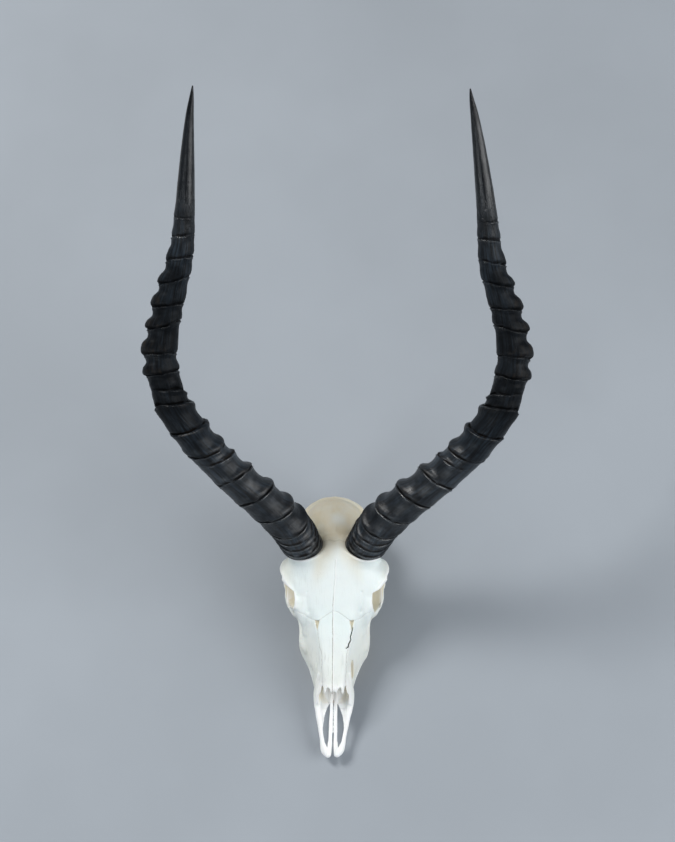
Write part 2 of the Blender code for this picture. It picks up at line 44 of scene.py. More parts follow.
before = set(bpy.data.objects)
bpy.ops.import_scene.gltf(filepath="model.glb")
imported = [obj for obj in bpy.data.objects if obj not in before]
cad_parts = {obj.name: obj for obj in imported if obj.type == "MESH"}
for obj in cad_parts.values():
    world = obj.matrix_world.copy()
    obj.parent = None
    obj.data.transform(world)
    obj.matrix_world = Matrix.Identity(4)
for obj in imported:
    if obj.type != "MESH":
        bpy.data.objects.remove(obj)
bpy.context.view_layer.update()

# Metres in a millimetre, where the skull's own origin lies in the frame, and a cube's eight corners
MM = 0.001
SHIFT = (-2.9, -244.3, 0.0)
CORNERS = tuple(np.ndindex(2, 2, 2))

# Face plane: u runs across and v down the face, in picture steps of a millimetre; the camera looks
# square on it, and VIEWER points at the camera
FACE_TILT = math.radians(22.0)
MID_ACROSS = 334.5
READ_CENTRE = 421.0
READ_CENTRE_F = 341.4
VIEW_DISTANCE = 2200.0
SCALE_DEPTH = 40.0
PICTURE = (675, 842)
VIEWER = np.array((0.0, -math.sin(FACE_TILT), math.cos(FACE_TILT)))

# Face sections: distance back, then half outlines from the top of the midline to its bottom (x, z)
FACE_SECTIONS = (
    (47.0, ((0, 31), (8, 30.5), (15, 29), (18.5, 25.5), (18.5, 21), (13, 18.5), (0, 19))),
    (56.0, ((0, 45), (7, 44.5), (12, 41), (18.3, 32), (19.3, 25), (16, 18), (0, 19.5))),
    (66.0, ((0, 50), (8.5, 49), (13, 44), (18.5, 34), (19.5, 26), (18, 18), (0, 20))),
    (80.0, ((0, 56.5), (10.5, 55.5), (15, 50), (20.5, 40), (22, 28), (22.5, 18), (0, 20.5))),
    (92.0, ((0, 62), (12, 61), (16.5, 55), (23, 44), (27, 31), (27, 17.5), (0, 21))),
    (100.0, ((0, 65.5), (13.5, 64.5), (18.5, 58), (25, 47), (31, 33), (31, 17.5), (0, 21))),
    (109.0, ((0, 69.5), (15, 68.5), (20.5, 62), (28, 50), (34.5, 35), (33, 17.5), (0, 21))),
    (120.0, ((0, 74), (16.5, 73), (24, 66), (30, 54), (33.5, 42), (33.5, 18), (0, 22))),
    (131.0, ((0, 79.5), (18, 78.5), (28, 72), (33, 60), (33.5, 45), (33, 18.5), (0, 24))),
    (142.0, ((0, 85.5), (24, 84.5), (38, 80), (38, 68), (34, 46), (32, 20), (0, 27))),
    (152.0, ((0, 91), (26, 90.5), (42, 87), (42, 72), (34, 45), (28, 26), (0, 29))),
    (165.0, ((0, 98), (28, 98.5), (46, 88), (40, 70), (30, 45), (22, 28), (0, 29))),
    (178.0, ((0, 104), (28, 106), (42, 92), (33, 72), (27, 46), (17, 28), (0, 28))),
    (190.0, ((0, 104), (27, 104), (35, 92), (30, 72), (26, 48), (14, 28), (0, 26))),
    (203.0, ((0, 97), (20, 97), (30, 86), (31, 66), (27, 48), (12, 28), (0, 26))),
)
HALF_OUTLINE_POINTS = 37

# Nasal passage: distance back, middle height, half width, half height
NASAL_SECTIONS = (
    (34.0, 30.0, 9.0, 7.0),
    (46.0, 31.0, 15.0, 11.0),
    (60.0, 33.0, 15.3, 11.0),
    (75.0, 37.5, 15.5, 13.0),
    (95.0, 43.0, 17.0, 16.0),
    (125.0, 48.0, 18.0, 18.0),
    (138.0, 50.0, 6.0, 6.0),
)

# Rods of bone on the +x side: blend with what they join, then points (x, y, z, radius)
RODS = {
    "premaxilla_prong": (2.0, ((4.6, -1.0, 12.3, 3.3), (8.0, 6, 13.2, 4.2), (10.6, 16, 14.5, 3.0),
                               (12.3, 24, 16, 2.8), (14.2, 34, 18.5, 2.9), (16.4, 45, 22, 3.1),
                               (17.6, 56, 27, 3.2), (16.6, 66, 36, 2.4), (15.2, 74, 45, 1.6))),
    "premaxilla_middle": (0.8, ((3.6, 1, 12.6, 2.5), (2.9, 9, 13.4, 2.0), (2.65, 16, 14.2, 1.75),
                                (2.5, 36, 17, 1.7), (2.6, 44, 19.8, 1.7), (2.6, 52, 25, 1.6),
                                (3.0, 60, 31.5, 1.3), (3.8, 67, 36, 0.9))),
    "orbit_upper_rim": (3.0, ((40, 137, 76, 3), (42, 146, 83.5, 2.6), (46, 155, 87, 2.6),
                              (51.7, 163, 87.5, 2.9), (52.4, 172, 86, 3.3), (47, 181, 84, 5),
                              (38, 190, 80, 6))),
    "orbit_front_rim": (3.0, ((42, 146, 83.5, 2.8), (39, 138, 74, 3.2), (37, 133.5, 63, 3.5),
                              (37, 134, 53, 3.5), (38.5, 139, 45, 3.8))),
    "postorbital_bar": (3.0, ((51.5, 173, 85, 3.2), (52, 177, 70, 3.0), (49.5, 174, 56, 3.3),
                              (48, 168, 48, 4))),
    "cheek_bone": (3.5, ((26, 118, 38, 5), (29.5, 131, 42, 4.8), (39.3, 140, 44, 4.5), (46.0, 151, 44.5, 3.8),
                         (47, 166, 47, 3.8), (46, 182, 50, 3.4), (43, 197, 51, 3.4), (38, 208, 48, 4.5))),
    "ear_tube": (2.5, ((27, 221, 43, 7), (39, 228, 48, 4.8))),
    "nuchal_crest": (3.0, ((0, 252.5, 71, 3.0), (14, 250.5, 68, 3.0), (26, 245, 59, 3.2),
                           (31, 239, 48, 3.8))),
    "cranial_base": (5.0, ((3, 150, 36, 7), (3, 190, 32, 8), (3, 225, 30, 9), (3, 250, 31, 9))),
    "lacrimal_bone": (6.0, ((33.5, 140, 77, 4.5), (32.5, 133, 71.5, 5.5), (31.8, 127, 64.5, 4.8),
                            (30.4, 122, 58, 3.4), (29.0, 116, 52, 2.0))),
    "face_crest": (3.0, ((35.5, 136, 48, 2.5), (33.5, 124, 42, 2.4), (33.0, 112, 37, 2.6),
                         (29, 103, 34, 1.8))),
}

# Rounded masses on the +x side: blend, centre, half sizes, tilt about x in degrees
MASSES = {
    "braincase": (5.0, (0.0, 214.0, 61.0), (35.5, 40.5, 37.5), 0),
    "premaxilla_tip": (1.2, (6.3, 5.0, 12.8), (5.4, 6.8, 3.2), 4),
    "facial_tuberosity": (4.0, (28.5, 109, 36), (6.5, 9, 7), 0),
    "orbit_roof": (4.0, (38, 168, 88), (15, 15, 5), 12),
    "occipital_plate": (4.0, (6, 242, 47), (26, 13.5, 26), -12),
    "condyle": (2.0, (12.5, 253, 34), (9.5, 9, 10.5), 0),
    "ear_capsule": (2.0, (18, 221, 23), (8.5, 12, 9), 0),
    "jaw_joint": (2.5, (36, 208, 47), (10.5, 11, 5.5), 0),
    "temporal_side": (4.0, (30, 226, 46), (8, 14, 16), 0),
    "pterygoid_plate": (2.5, (12.5, 163, 31), (2.6, 26, 13), 0),
    "process_root": (3.0, (25.5, 236.5, 38), (8.5, 9.5, 14), 0),
}
BRAIN_CAVITY = ((0.0, 214.0, 61.0), (29.5, 34.5, 31.5))
FORAMEN_MAGNUM = ((0, 236, 50, 9), (0, 254, 45, 9), (0, 275, 42, 10))
CHOANA = ((0, 160, 22), (9.5, 24, 12))
CHOANA_WAY = ((0, 150, 28, 7), (0, 134, 38, 9), (0, 122, 44, 9))
ORBIT = ((52.0, 158.0, 66.0), (30.0, 19.5, 17.5))
ORBIT_FLOOR_WALL = 1.4
PROCESS = ((27, 239.0, 0.0, 2.3, 3.0), (27, 239.2, 1.2, 3.0, 3.9), (27, 239.6, 12, 3.7, 5.4),
           (27, 239, 24, 4.4, 6.8), (27, 237, 36, 3.5, 5.0))
# Swelling under a horn: distance along the horn from its rim, radius; then the height of the stub on it
# and the rounding of the corner that is cut round the stub
PEDICLE = ((-36, 12.0), (-22, 16.5), (-10, 19.0), (0, 19.6))
STUB_HEIGHT = 21.0
CORNER_ROUND = 7.0

# Openings and furrows of the face as seen from the front: (u, v) from the midline, on the +x side and
# mirrored, except the orbit gaps, the slits and the crack, which are drawn for one side each
NOSE_OPENING = (
    (0, 690.5), (0.9, 692.5), (2.1, 696.8), (3.0, 693.5), (4.0, 689.5), (6.0, 687.2), (7.2, 688.0),
    (7.8, 691), (8.5, 696.0), (9.5, 695.8), (9.9, 691), (10.8, 686.5), (11.7, 685.5), (12.8, 692),
    (14.2, 699), (15.2, 706), (14.4, 714), (12.6, 721), (11.2, 727), (10.6, 733), (9.6, 741), (8.4, 746),
    (0, 752),
)
ORBIT_GAPS = (
    ((50.6, 582.0), (48.0, 586.5), (43.5, 590.2), (37.8, 593.2), (37.5, 602), (38.6, 608.5), (40.4, 612.2),
     (43.8, 608.2), (46.6, 601.5), (48.0, 594), (48.9, 587)),
    ((-48.7, 585.0), (-45.5, 587.5), (-40.4, 591.6), (-39.8, 599), (-40.0, 605), (-41.2, 608.6), (-43.8, 606),
     (-46.2, 602), (-47.5, 596.5), (-48.2, 590.5)),
)
ORBIT_GAP_FLOOR = ((120, 51), (170, 51))
ORBIT_SHELF = (46.0, 51.1, 48.8)
ORBIT_CREAM_BELOW = 74.0
WING_EDGE = (
    (46.0, 558.0), (49.5, 559.4), (52.6, 561.2), (54.4, 564.0), (55.3, 568.4), (54.4, 572.6),
    (52.9, 575.6), (52.7, 578.2), (54.5, 580), (62, 580), (62, 540), (46.0, 540),
)
WING_FLOOR = ((150, 74), (200, 74))
MIDDLE_SLOT = ((0, 700), (0.5, 702), (0.62, 720), (0.62, 738), (0.5, 752), (0, 753))
PALATE_FISSURE = ((3.4, 702.5), (5.5, 707), (8.6, 716), (10.6, 728), (9.6, 736), (8.4, 742), (5.3, 748),
                  (4.7, 738), (4.1, 720), (3.8, 709))
FACE_VACUITY = ((15.0, 620.8), (19.2, 620.0), (18.9, 623), (17.9, 627.5), (17.0, 630), (16.2, 625.5))
CRACK = ((18.2, 628), (17.0, 633), (15.8, 637), (16.2, 640), (14.2, 644), (13.6, 647), (11.6, 648.5))
VACUITY_FLOOR = ((109, 65.0), (120, 70.2), (130, 75.5))
CRACK_FLOOR = ((80, 50), (120, 68))
PLATE_HEIGHT = (
    (0, 12.4), (16, 13.6), (36, 16.4), (44, 19.0), (52, 24.0), (60, 30.0), (68, 35.0), (78, 38.0),
)
PLATE_HALF_WIDTH = ((22, 9.5), (30, 12.5), (45, 15.5), (56, 16.5))
BEIGE_SLIT = (
    (17.6, 659.5), (19.2, 661.5), (20.2, 666), (20.3, 671), (19.6, 676), (18.4, 680.5), (17.2, 677),
    (16.4, 671), (16.3, 665), (16.8, 661.5),
)
# Outline of a painted highlight on the snout's side, on the animal's right, across from the beige slit
GLINT_SLIT = (
    (-21.3, 658.5), (-20.1, 661), (-19.5, 666), (-19.5, 672), (-20.0, 678), (-20.6, 683), (-21.8, 678),
    (-22.6, 672), (-22.9, 666), (-22.4, 661),
)
BEIGE_SLIT_FLOOR = (
    (70, 34.8), (73.5, 37.3), (77, 40.1), (80.4, 42.6), (84, 44.9), (87.5, 47.1), (91, 49.6),
)
SUPRAORBITAL_HOLE = ((27.7, 146.6, 88.8, 1.1), (27.7, 147.2, 87.4, 0.8))
SUPRAORBITAL_FURROW = ((27.7, 146.4, 89.4, 1.6), (27.8, 142.4, 86.4, 1.9), (27.5, 138.1, 83.5, 1.95),
                       (27.1, 134.0, 79.7, 1.8), (26.6, 130.0, 75.3, 1.5))
LACRIMAL_HOLE = ((41.0, 139, 62, 1.6), (36.0, 134, 60, 1.3))
# The snout leans to the animal's right by this much at its tip, from this far back
SNOUT_LEAN = 2.0
SNOUT_LEAN_FROM = 105.0

# Sutures as seen from the front, in three groups that keep apart: both sides or not, then (u, v)
SUTURES = (
    ((False, ((0.9, 560), (0.2, 570), (0.3, 578), (-0.8, 588), (-1.5, 600), (-1.9, 612), (-1.8, 640),
              (-1.7, 665), (-1.5, 694))),),
    ((True, ((0, 610.8), (4, 612.4), (8, 615), (12.5, 618.3), (17, 621.3))),
     (True, ((17.0, 630), (15.6, 641), (14.2, 649), (12.8, 656), (12.2, 665), (12.3, 673), (11.8, 686)))),
    ((True, ((19, 621), (26, 618), (31, 614), (36, 611.5))),
     (True, ((17.0, 664), (17.6, 672), (18.4, 682), (19.4, 692))),
     (True, ((0, 541), (5, 539.5), (10, 541.5), (16, 540), (22, 543)))),
)
# How far a suture is felt, how near one the faces are kept, and the height below which there is none
SEAM_REACH = 4.0
SEAM_KEPT = 1.7
SEAMS_LIE_ABOVE = 28.0
# How far round a point its hollow and its shelter are measured
HOLLOW_REACH = 3.0
SHELTER_REACH = 8.0

# Horn paths: along it (across, up) in picture steps, depth, plain radius in picture steps
HORN_RIGHT_PATH = (
    ((303.5, 547), 21, 20.0), ((291, 527.5), 41, 19.8), ((275, 511.5), 58, 19.0), ((257, 496), 74, 18.4),
    ((238.5, 480.5), 88, 17.8), ((221.5, 465), 101, 17.2), ((198, 440.5), 118, 17.1),
    ((175.5, 409.7), 138, 16.9), ((166.3, 385), 150, 15.6), ((161.5, 360), 161, 15.1),
    ((162.5, 340), 169, 14.8), ((168.5, 308), 183, 13.7), ((173.5, 287), 193, 13.2),
    ((179, 266), 202, 12.3), ((182.8, 244), 212, 11.3), ((185, 212), 225, 10.0),
    ((186.5, 180), 237, 8.5), ((188, 148), 249, 6.6), ((190, 116), 261, 4.2), ((191.8, 98), 268, 2.4),
    ((193, 85), 273, 0.6),
)
HORN_LEFT_PATH = (
    ((364.5, 547), 21, 20.0), ((378, 527.5), 41, 19.8), ((395, 511.5), 58, 19.0),
    ((414, 496.5), 74, 18.4), ((433.5, 481.5), 88, 17.8), ((451.5, 467), 101, 17.2),
    ((476, 443.5), 118, 17.1), ((499, 412.5), 138, 16.9), ((508.5, 387), 150, 15.6),
    ((513, 362), 161, 15.1), ((512, 340), 169, 14.8), ((505, 308), 183, 13.7), ((498.5, 287), 193, 13.2),
    ((492.5, 266), 202, 12.3), ((489.5, 244), 212, 11.3), ((487, 212), 225, 10.0),
    ((483.5, 180), 237, 8.5), ((479.5, 148), 249, 6.6), ((475, 116), 261, 4.2), ((472.2, 100), 267, 2.4),
    ((470.5, 88), 271, 0.6),
)
PATH_POINTS = 600
LEFT_RIDGE_SHIFT = -0.002
RIDGE_SHIFT_FROM = 0.1
# Share of a sheath's rows that lie inside its socket, and the grain's radius in metres
TURNOVER = 0.03
GRAIN_RADIUS = 0.016

# Ridges by the crease at the base side of each: place as a share of the horn's length, then the height
# of the bump on the inner side, on the outer side and in front
RIDGES = (
    (0.0, 0.3, 0.3, 0.3), (0.013, 1.5, 0.5, 1.3), (0.029, 2.2, 0.6, 1.6), (0.046, 2.0, 0.4, 1.5),
    (0.066, 3.3, 0.5, 1.8), (0.1155, 3.9, 0.4, 1.7), (0.1745, 4.1, 0.3, 1.7), (0.2365, 4.2, 0.4, 1.7),
    (0.282, 3.2, 0.0, 0.3), (0.3045, 3.0, 0.8, 1.6), (0.367, 3.5, 1.2, 1.8), (0.4285, 3.0, 1.3, 1.8),
    (0.455, 1.6, 0.0, 0.4), (0.4875, 1.7, 4.4, 2.0), (0.524, 1.2, 4.8, 2.1), (0.576, 1.0, 4.4, 2.1),
    (0.6155, 0.9, 4.4, 1.8), (0.661, 1.0, 3.6, 1.5), (0.704, 0.8, 2.2, 1.1), (0.744, 0.4, 0.9, 0.7),
    (0.775, 0.2, 0.5, 0.4), (0.80, 0.0, 0.0, 0.0), (1.0, 0.0, 0.0, 0.0),
)
TALLEST_RIDGE = 4.8
# How far a crease moves towards the tip on the inner side (lean), and at both sides (rise), along the horn
CREASE_LEAN = (
    (0, 3), (0.03, 2.5), (0.065, 1.4), (0.1155, -2.5), (0.1745, -1), (0.2365, -1), (0.3045, -2.4),
    (0.367, -1), (0.4285, -1.3), (0.4875, 2.2), (0.524, 3), (0.576, 8.3), (0.6155, 5.6), (0.661, 8.4),
    (0.704, 4), (0.744, 2.3), (0.8, 0), (1.0, 0),
)
CREASE_RISE = (
    (0, 8), (0.03, 10), (0.065, 10), (0.1155, 4), (0.1745, -3), (0.2365, -6), (0.282, -3), (0.3045, 2),
    (0.33, 1), (0.367, -3), (0.4285, -9), (0.4875, -6), (0.524, -6), (0.576, -4), (0.6155, -4.7),
    (0.661, -4), (0.704, -3), (0.744, -3), (0.8, 0), (1.0, 0),
)
# Bump profiles from one crease (0) to the next one towards the tip (1): near the base, at the bend, above it
LOW_BUMP = (
    (0, 0.72), (0.05, 0.92), (0.1, 1.0), (0.15, 0.92), (0.22, 0.58), (0.29, 0.24), (0.38, 0.06),
    (0.55, 0.02), (0.7, 0.12), (0.85, 0.34), (0.95, 0.54), (1.0, 0.72),
)
BEND_BUMP = (
    (0, 0.12), (0.1, 0.05), (0.3, 0.0), (0.48, 0.03), (0.6, 0.16), (0.7, 0.45), (0.8, 0.85), (0.87, 1.0),
    (0.93, 0.95), (0.97, 0.65), (0.99, 0.3), (1.0, 0.12),
)
HIGH_BUMP = (
    (0, 0.45), (0.05, 0.70), (0.10, 0.90), (0.17, 1.0), (0.27, 1.0), (0.37, 0.94), (0.46, 0.76),
    (0.54, 0.46), (0.61, 0.20), (0.67, 0.05), (0.76, 0.0), (0.87, 0.06), (0.94, 0.22), (1.0, 0.45),
)
FRONT_BUMP = (
    (0, 0.0), (0.015, 0.35), (0.04, 0.75), (0.08, 0.97), (0.12, 1.0), (0.2, 0.85), (0.32, 0.5),
    (0.45, 0.25), (0.6, 0.12), (0.75, 0.15), (0.88, 0.3), (0.95, 0.42), (0.985, 0.35), (1.0, 0.0),
)
# Groove and lip beside a crease: millimetres towards the tip, share of the lip's height
CREASE_PROFILE = (
    (-9, 0.0), (-5, 0.10), (-3.6, 0.26), (-2.9, 0.20), (-2.2, 0.44), (-1.3, 0.80), (-0.8, 0.42),
    (-0.35, -0.60), (0.0, -1.0), (0.7, -0.95), (1.6, -0.62), (3.0, -0.26), (5.0, 0.0),
)

# Cheek teeth from front to back: name, length, width, middle from the midline
TEETH = (
    ("upper_premolar_2", 7.0, 6.5, 15.5),
    ("upper_premolar_3", 8.5, 8.0, 17.5),
    ("upper_premolar_4", 9.0, 9.5, 20.2),
    ("upper_molar_1", 12.5, 10.5, 23.0),
    ("upper_molar_2", 14.0, 11.0, 24.6),
    ("upper_molar_3", 15.0, 10.5, 24.2),
)
TOOTH_ROW_FRONT = 76.0
TOOTH_TOP = 25.0
SOCKET_MARGIN = 0.5
# Sizes of the rings that close a tooth's worn face
WORN_RINGS = (0.985, 0.96, 0.92, 0.86, 0.78, 0.7, 0.61, 0.52, 0.43, 0.34, 0.25, 0.16, 0.08, 0.0)

# Inputs of the horn's node group, each with the setting that feeds it
HORN_SETTINGS = {
    "Sides": "sides", "Rows": "rows", "Socket depth": "socket_depth", "Socket radius": "socket_radius",
    "Socket top": "socket_top", "Ridge height": "ridge", "Lip height": "lip", "Ridge wave": "wave",
    "Base tilt": "base_tilt", "Lumps": "lumps",
}

# Place in metres that every light looks at
LIGHT_TARGET = (0.0, 0.0, 0.15)


# ---------------------------------------------------------------- sizes and colours that a user would change


def length(name, description, default, low=0.0, high=1.0):
    return bpy.props.FloatProperty(name=name, description=description, default=default, min=low, max=high,
                                   subtype="DISTANCE", unit="LENGTH", precision=4)


def number(name, description, default, low, high):
    return bpy.props.IntProperty(name=name, description=description, default=default, min=low, max=high)


def power(name, description, default):
    return bpy.props.FloatProperty(name=name, description=description, default=default, min=0.0,
                                   subtype="POWER", unit="POWER")


def colour(name, description, default):
    return bpy.props.FloatVectorProperty(name=name, description=description, default=default, size=3, min=0.0,
                                         max=1.0, subtype="COLOR")


class SkullSettings(bpy.types.PropertyGroup):
    """Sizes and colours of the bone"""

    cell: length("Grid cell", "Cell of the grid that the bone is grown on", 0.0007, 0.0005, 0.005)
    face_count: number("Faces", "Triangles kept in the finished skull", 192000, 10000, 199000)
    relief: length("Surface relief", "Height of the bone's gentle lumps", 0.0003, 0.0, 0.002)
    stub_radius: length("Stub radius", "Radius of the bony stub at the horn's rim", 0.0149, 0.005, 0.02)
    bleached: colour("Bleached bone", "Colour of the clean upper side", (0.80, 0.85, 0.83))
    cream: colour("Cream bone", "Colour of the crown, the orbit walls and the insides", (0.70, 0.61, 0.43))
    cool: colour("Cool clouds", "Tint of the cooler clouds on the bleached bone", (0.88, 0.95, 0.96))
    seam: colour("Sutures", "Colour in the sutures and pits", (0.30, 0.27, 0.23))


class HornSettings(bpy.types.PropertyGroup):
    """Sizes and colours of the horn sheaths"""

    sides: number("Sides", "Points round each ring", 88, 12, 256)
    rows: number("Rows", "Rings along each sheath", 1090, 50, 2000)
    socket_depth: length("Socket depth", "How far the sheath is hollow", 0.022, 0.0, 0.1)
    socket_radius: length("Socket radius", "Radius of the hollow at the rim", 0.0155, 0.0, 0.03)
    socket_top: length("Socket top radius", "Radius of the hollow at its end", 0.0145, 0.0, 0.03)
    ridge: length("Ridge height", "Height of the tallest ridge", TALLEST_RIDGE * MM, 0.0, 0.01)
    lip: length("Lip height", "Height of the lip and depth of the crease at every ridge", 0.00115, 0.0, 0.003)
    wave: length("Ridge wave", "How far a ridge wanders along the horn", 0.0011, 0.0, 0.01)
    base_tilt: length("Base tilt", "How far the rings near the base lean outwards", 0.005, 0.0, 0.02)
    lumps: length("Lumps", "Height of the horn's uneven swellings", 0.0005, 0.0, 0.003)
    seed: number("Seed", "Start of the horn's random unevenness", 7, 0, 1000)
    black: colour("Black horn", "Colour of the smooth sheath", (0.0030, 0.0035, 0.0043))
    # Slate: dust and a painted blue-grey sheen on the black horn
    slate: colour("Slate sheen", "Colour where the sheath is rubbed", (0.026, 0.038, 0.052))
    brown: colour("Worn lips", "Colour of the worn ridge lips", (0.095, 0.082, 0.068))


class ToothSettings(bpy.types.PropertyGroup):
    """Sizes and colours of the cheek teeth"""

    sides: number("Sides", "Points round each tooth", 72, 12, 256)
    pit: length("Pit depth", "Depth of the crescent pits in the worn face", 0.0014, 0.0, 0.004)
    ivory: colour("Ivory enamel", "Colour of the crown", (0.66, 0.59, 0.44))
    stain: colour("Stain", "Colour of the pits and the gum line", (0.16, 0.10, 0.055))


class StageSettings(bpy.types.PropertyGroup):
    """Floor, lights and camera"""

    floor_size: length("Floor size", "Width of the floor", 9.0, 1.0, 50.0)
    floor: colour("Floor", "Colour of the floor", (0.335, 0.365, 0.40))
    key: power("Key light", "Power of the main light", 42.0)
    fill: power("Fill light", "Power of the second light", 43.0)
    low: power("Low light", "Power of the light in front of the nose", 8.0)
    sky: bpy.props.FloatProperty(name="Room light", description="Strength of the even light from all round",
                                 default=0.2, min=0.0)


# ---------------------------------------------------------------- shared geometry


def metres(points):
    """Millimetre points in the skull's own directions, placed in the part's frame in metres."""
    return (np.asarray(points, float) + SHIFT) * MM


def catmull(points, count, closed=False):
    """Points spread evenly by parameter along a smooth curve through the given ones."""
    p = np.asarray(points, float)
    n = len(p)
    t = np.linspace(0, n if closed else n - 1, count, endpoint=not closed)
    i = np.minimum(np.floor(t).astype(int), n - 1 if closed else n - 2)
    u = (t - i)[:, None]
    a, b, c, d = (p[(i + k) % n if closed else np.clip(i + k, 0, n - 1)] for k in (-1, 0, 1, 2))
    return 0.5 * (2 * b + (c - a) * u + (2 * a - 5 * b + 4 * c - d) * u**2 + (3 * b - a - 3 * c + d) * u**3)


def shrink_at(depth):
    """Size of a picture step at a depth, as a share of its size at the depth where the scale was taken."""
    return 1.0 - (depth - SCALE_DEPTH) / VIEW_DISTANCE


def seen_from_front(x, y, z):
    """Face-plane coordinates u and v of points in the skull's own directions."""
    f = y * math.cos(FACE_TILT) + z * math.sin(FACE_TILT)
    shrink = shrink_at(z * math.cos(FACE_TILT) - y * math.sin(FACE_TILT))
    return x / shrink, READ_CENTRE - (f - READ_CENTRE_F) / shrink


def from_picture(across, up, depth):
    """A picture place at a depth, in the skull's own directions."""
    shrink = shrink_at(depth)
    f = READ_CENTRE_F + (READ_CENTRE - up) * shrink
    y = f * math.cos(FACE_TILT) - depth * math.sin(FACE_TILT)
    z = f * math.sin(FACE_TILT) + depth * math.cos(FACE_TILT)
    return ((across - MID_ACROSS) * shrink, y, z)


class HornPath:
    """The middle line of a horn with its plain radii; inner is +1 where the inner side faces +x."""

    def __init__(self, readings, inner, ridge_shift):
        knots = [(*from_picture(*at, depth), r * shrink_at(depth)) for at, depth, r in readings]
        fine = catmull(knots, PATH_POINTS)
        self.inner = inner
        self.line, self.radii = fine[:, :3], fine[:, 3]
        self.length = np.linalg.norm(np.diff(self.line, axis=0), axis=1).sum()
        self.ridges = [(s + (ridge_shift if s > RIDGE_SHIFT_FROM else 0.0), *rest) for s, *rest in RIDGES]

    def base(self):
        """Place, direction and inner side at the rim."""
        direction = self.line[12] - self.line[0]
        direction /= np.linalg.norm(direction)
        side = np.cross(VIEWER - direction * (VIEWER @ direction), direction)
        side /= np.linalg.norm(side) * np.sign(side[0]) * self.inner
        return self.line[0], direction, side


HORNS = {
    "horn_right": HornPath(HORN_RIGHT_PATH, 1.0, 0.0),
    "horn_left": HornPath(HORN_LEFT_PATH, -1.0, LEFT_RIDGE_SHIFT),
}


def blend_corners(shares, value_at):
    """Sums a lattice's eight values round each point, each weighted by how near it is."""
    total = np.zeros(len(shares))
    for a, b, c in CORNERS:
        weight = np.abs(1 - a - shares[:, 0]) * np.abs(1 - b - shares[:, 1]) * np.abs(1 - c - shares[:, 2])
        total += weight * value_at(a, b, c)
    return total


def smooth_noise(points, size, seed):
    """Smooth random values from -1 to 1 at points, with lumps of the given size."""
    count = 32
    lattice = np.random.default_rng(seed).uniform(-1, 1, (count, count, count))
    p = np.asarray(points) / size + 1000.0
    i = np.floor(p).astype(int)
    t = p - i
    return blend_corners(t * t * (3 - 2 * t), lambda a, b, c: lattice[
        (i[:, 0] + a) % count, (i[:, 1] + b) % count, (i[:, 2] + c) % count])


def new_piece(name, data, material=None):
    """An object at the origin that carries the mesh, curve, light or camera."""
    made = bpy.data.objects.new(name, data)
    bpy.context.scene.collection.objects.link(made)
    if material:
        data.materials.append(material)
    return made


def plain_mesh(made):
    """The mesh that an object's modifiers give."""
    graph = bpy.context.evaluated_depsgraph_get()
    return bpy.data.meshes.new_from_object(made.evaluated_get(graph))


def mesh_from(name, points, faces):
    mesh = bpy.data.meshes.new(name)
    mesh.from_pydata(np.asarray(points).tolist(), [], np.asarray(faces).tolist())
    mesh.update()
    mesh.shade_smooth()
    return mesh


def face_outwards(mesh, doubles=None):
    """Merges doubles where a distance is given, and turns every face outwards."""
    work = bmesh.new()
    work.from_mesh(mesh)
    if doubles:
        bmesh.ops.remove_doubles(work, verts=work.verts, dist=doubles)
    bmesh.ops.recalc_face_normals(work, faces=work.faces)
    work.to_mesh(mesh)
    work.free()
    mesh.shade_smooth()


def store(mesh, name, values):
    """Keeps one number or three for each point of a mesh under a name that its material reads."""
    values = np.asarray(values, np.float32)
    kind, held = ("FLOAT", "value") if values.ndim == 1 else ("FLOAT_VECTOR", "vector")
    mesh.attributes.new(name, kind, "POINT").data.foreach_set(held, values.ravel())


# ---------------------------------------------------------------- node trees


class Number:
    """A node's output; sums and products with it add Math nodes."""

    def __init__(self, tree, socket):
        self.tree, self.socket = tree, socket

    def __add__(self, other):
        return self.tree.math("ADD", self, other)

    def __mul__(self, other):
        return self.tree.math("MULTIPLY", self, other)

    def __sub__(self, other):
        return self.tree.math("SUBTRACT", self, other)

    def __rsub__(self, other):
        return self.tree.math("SUBTRACT", other, self)

    def __truediv__(self, other):
        return self.tree.math("DIVIDE", self, other)


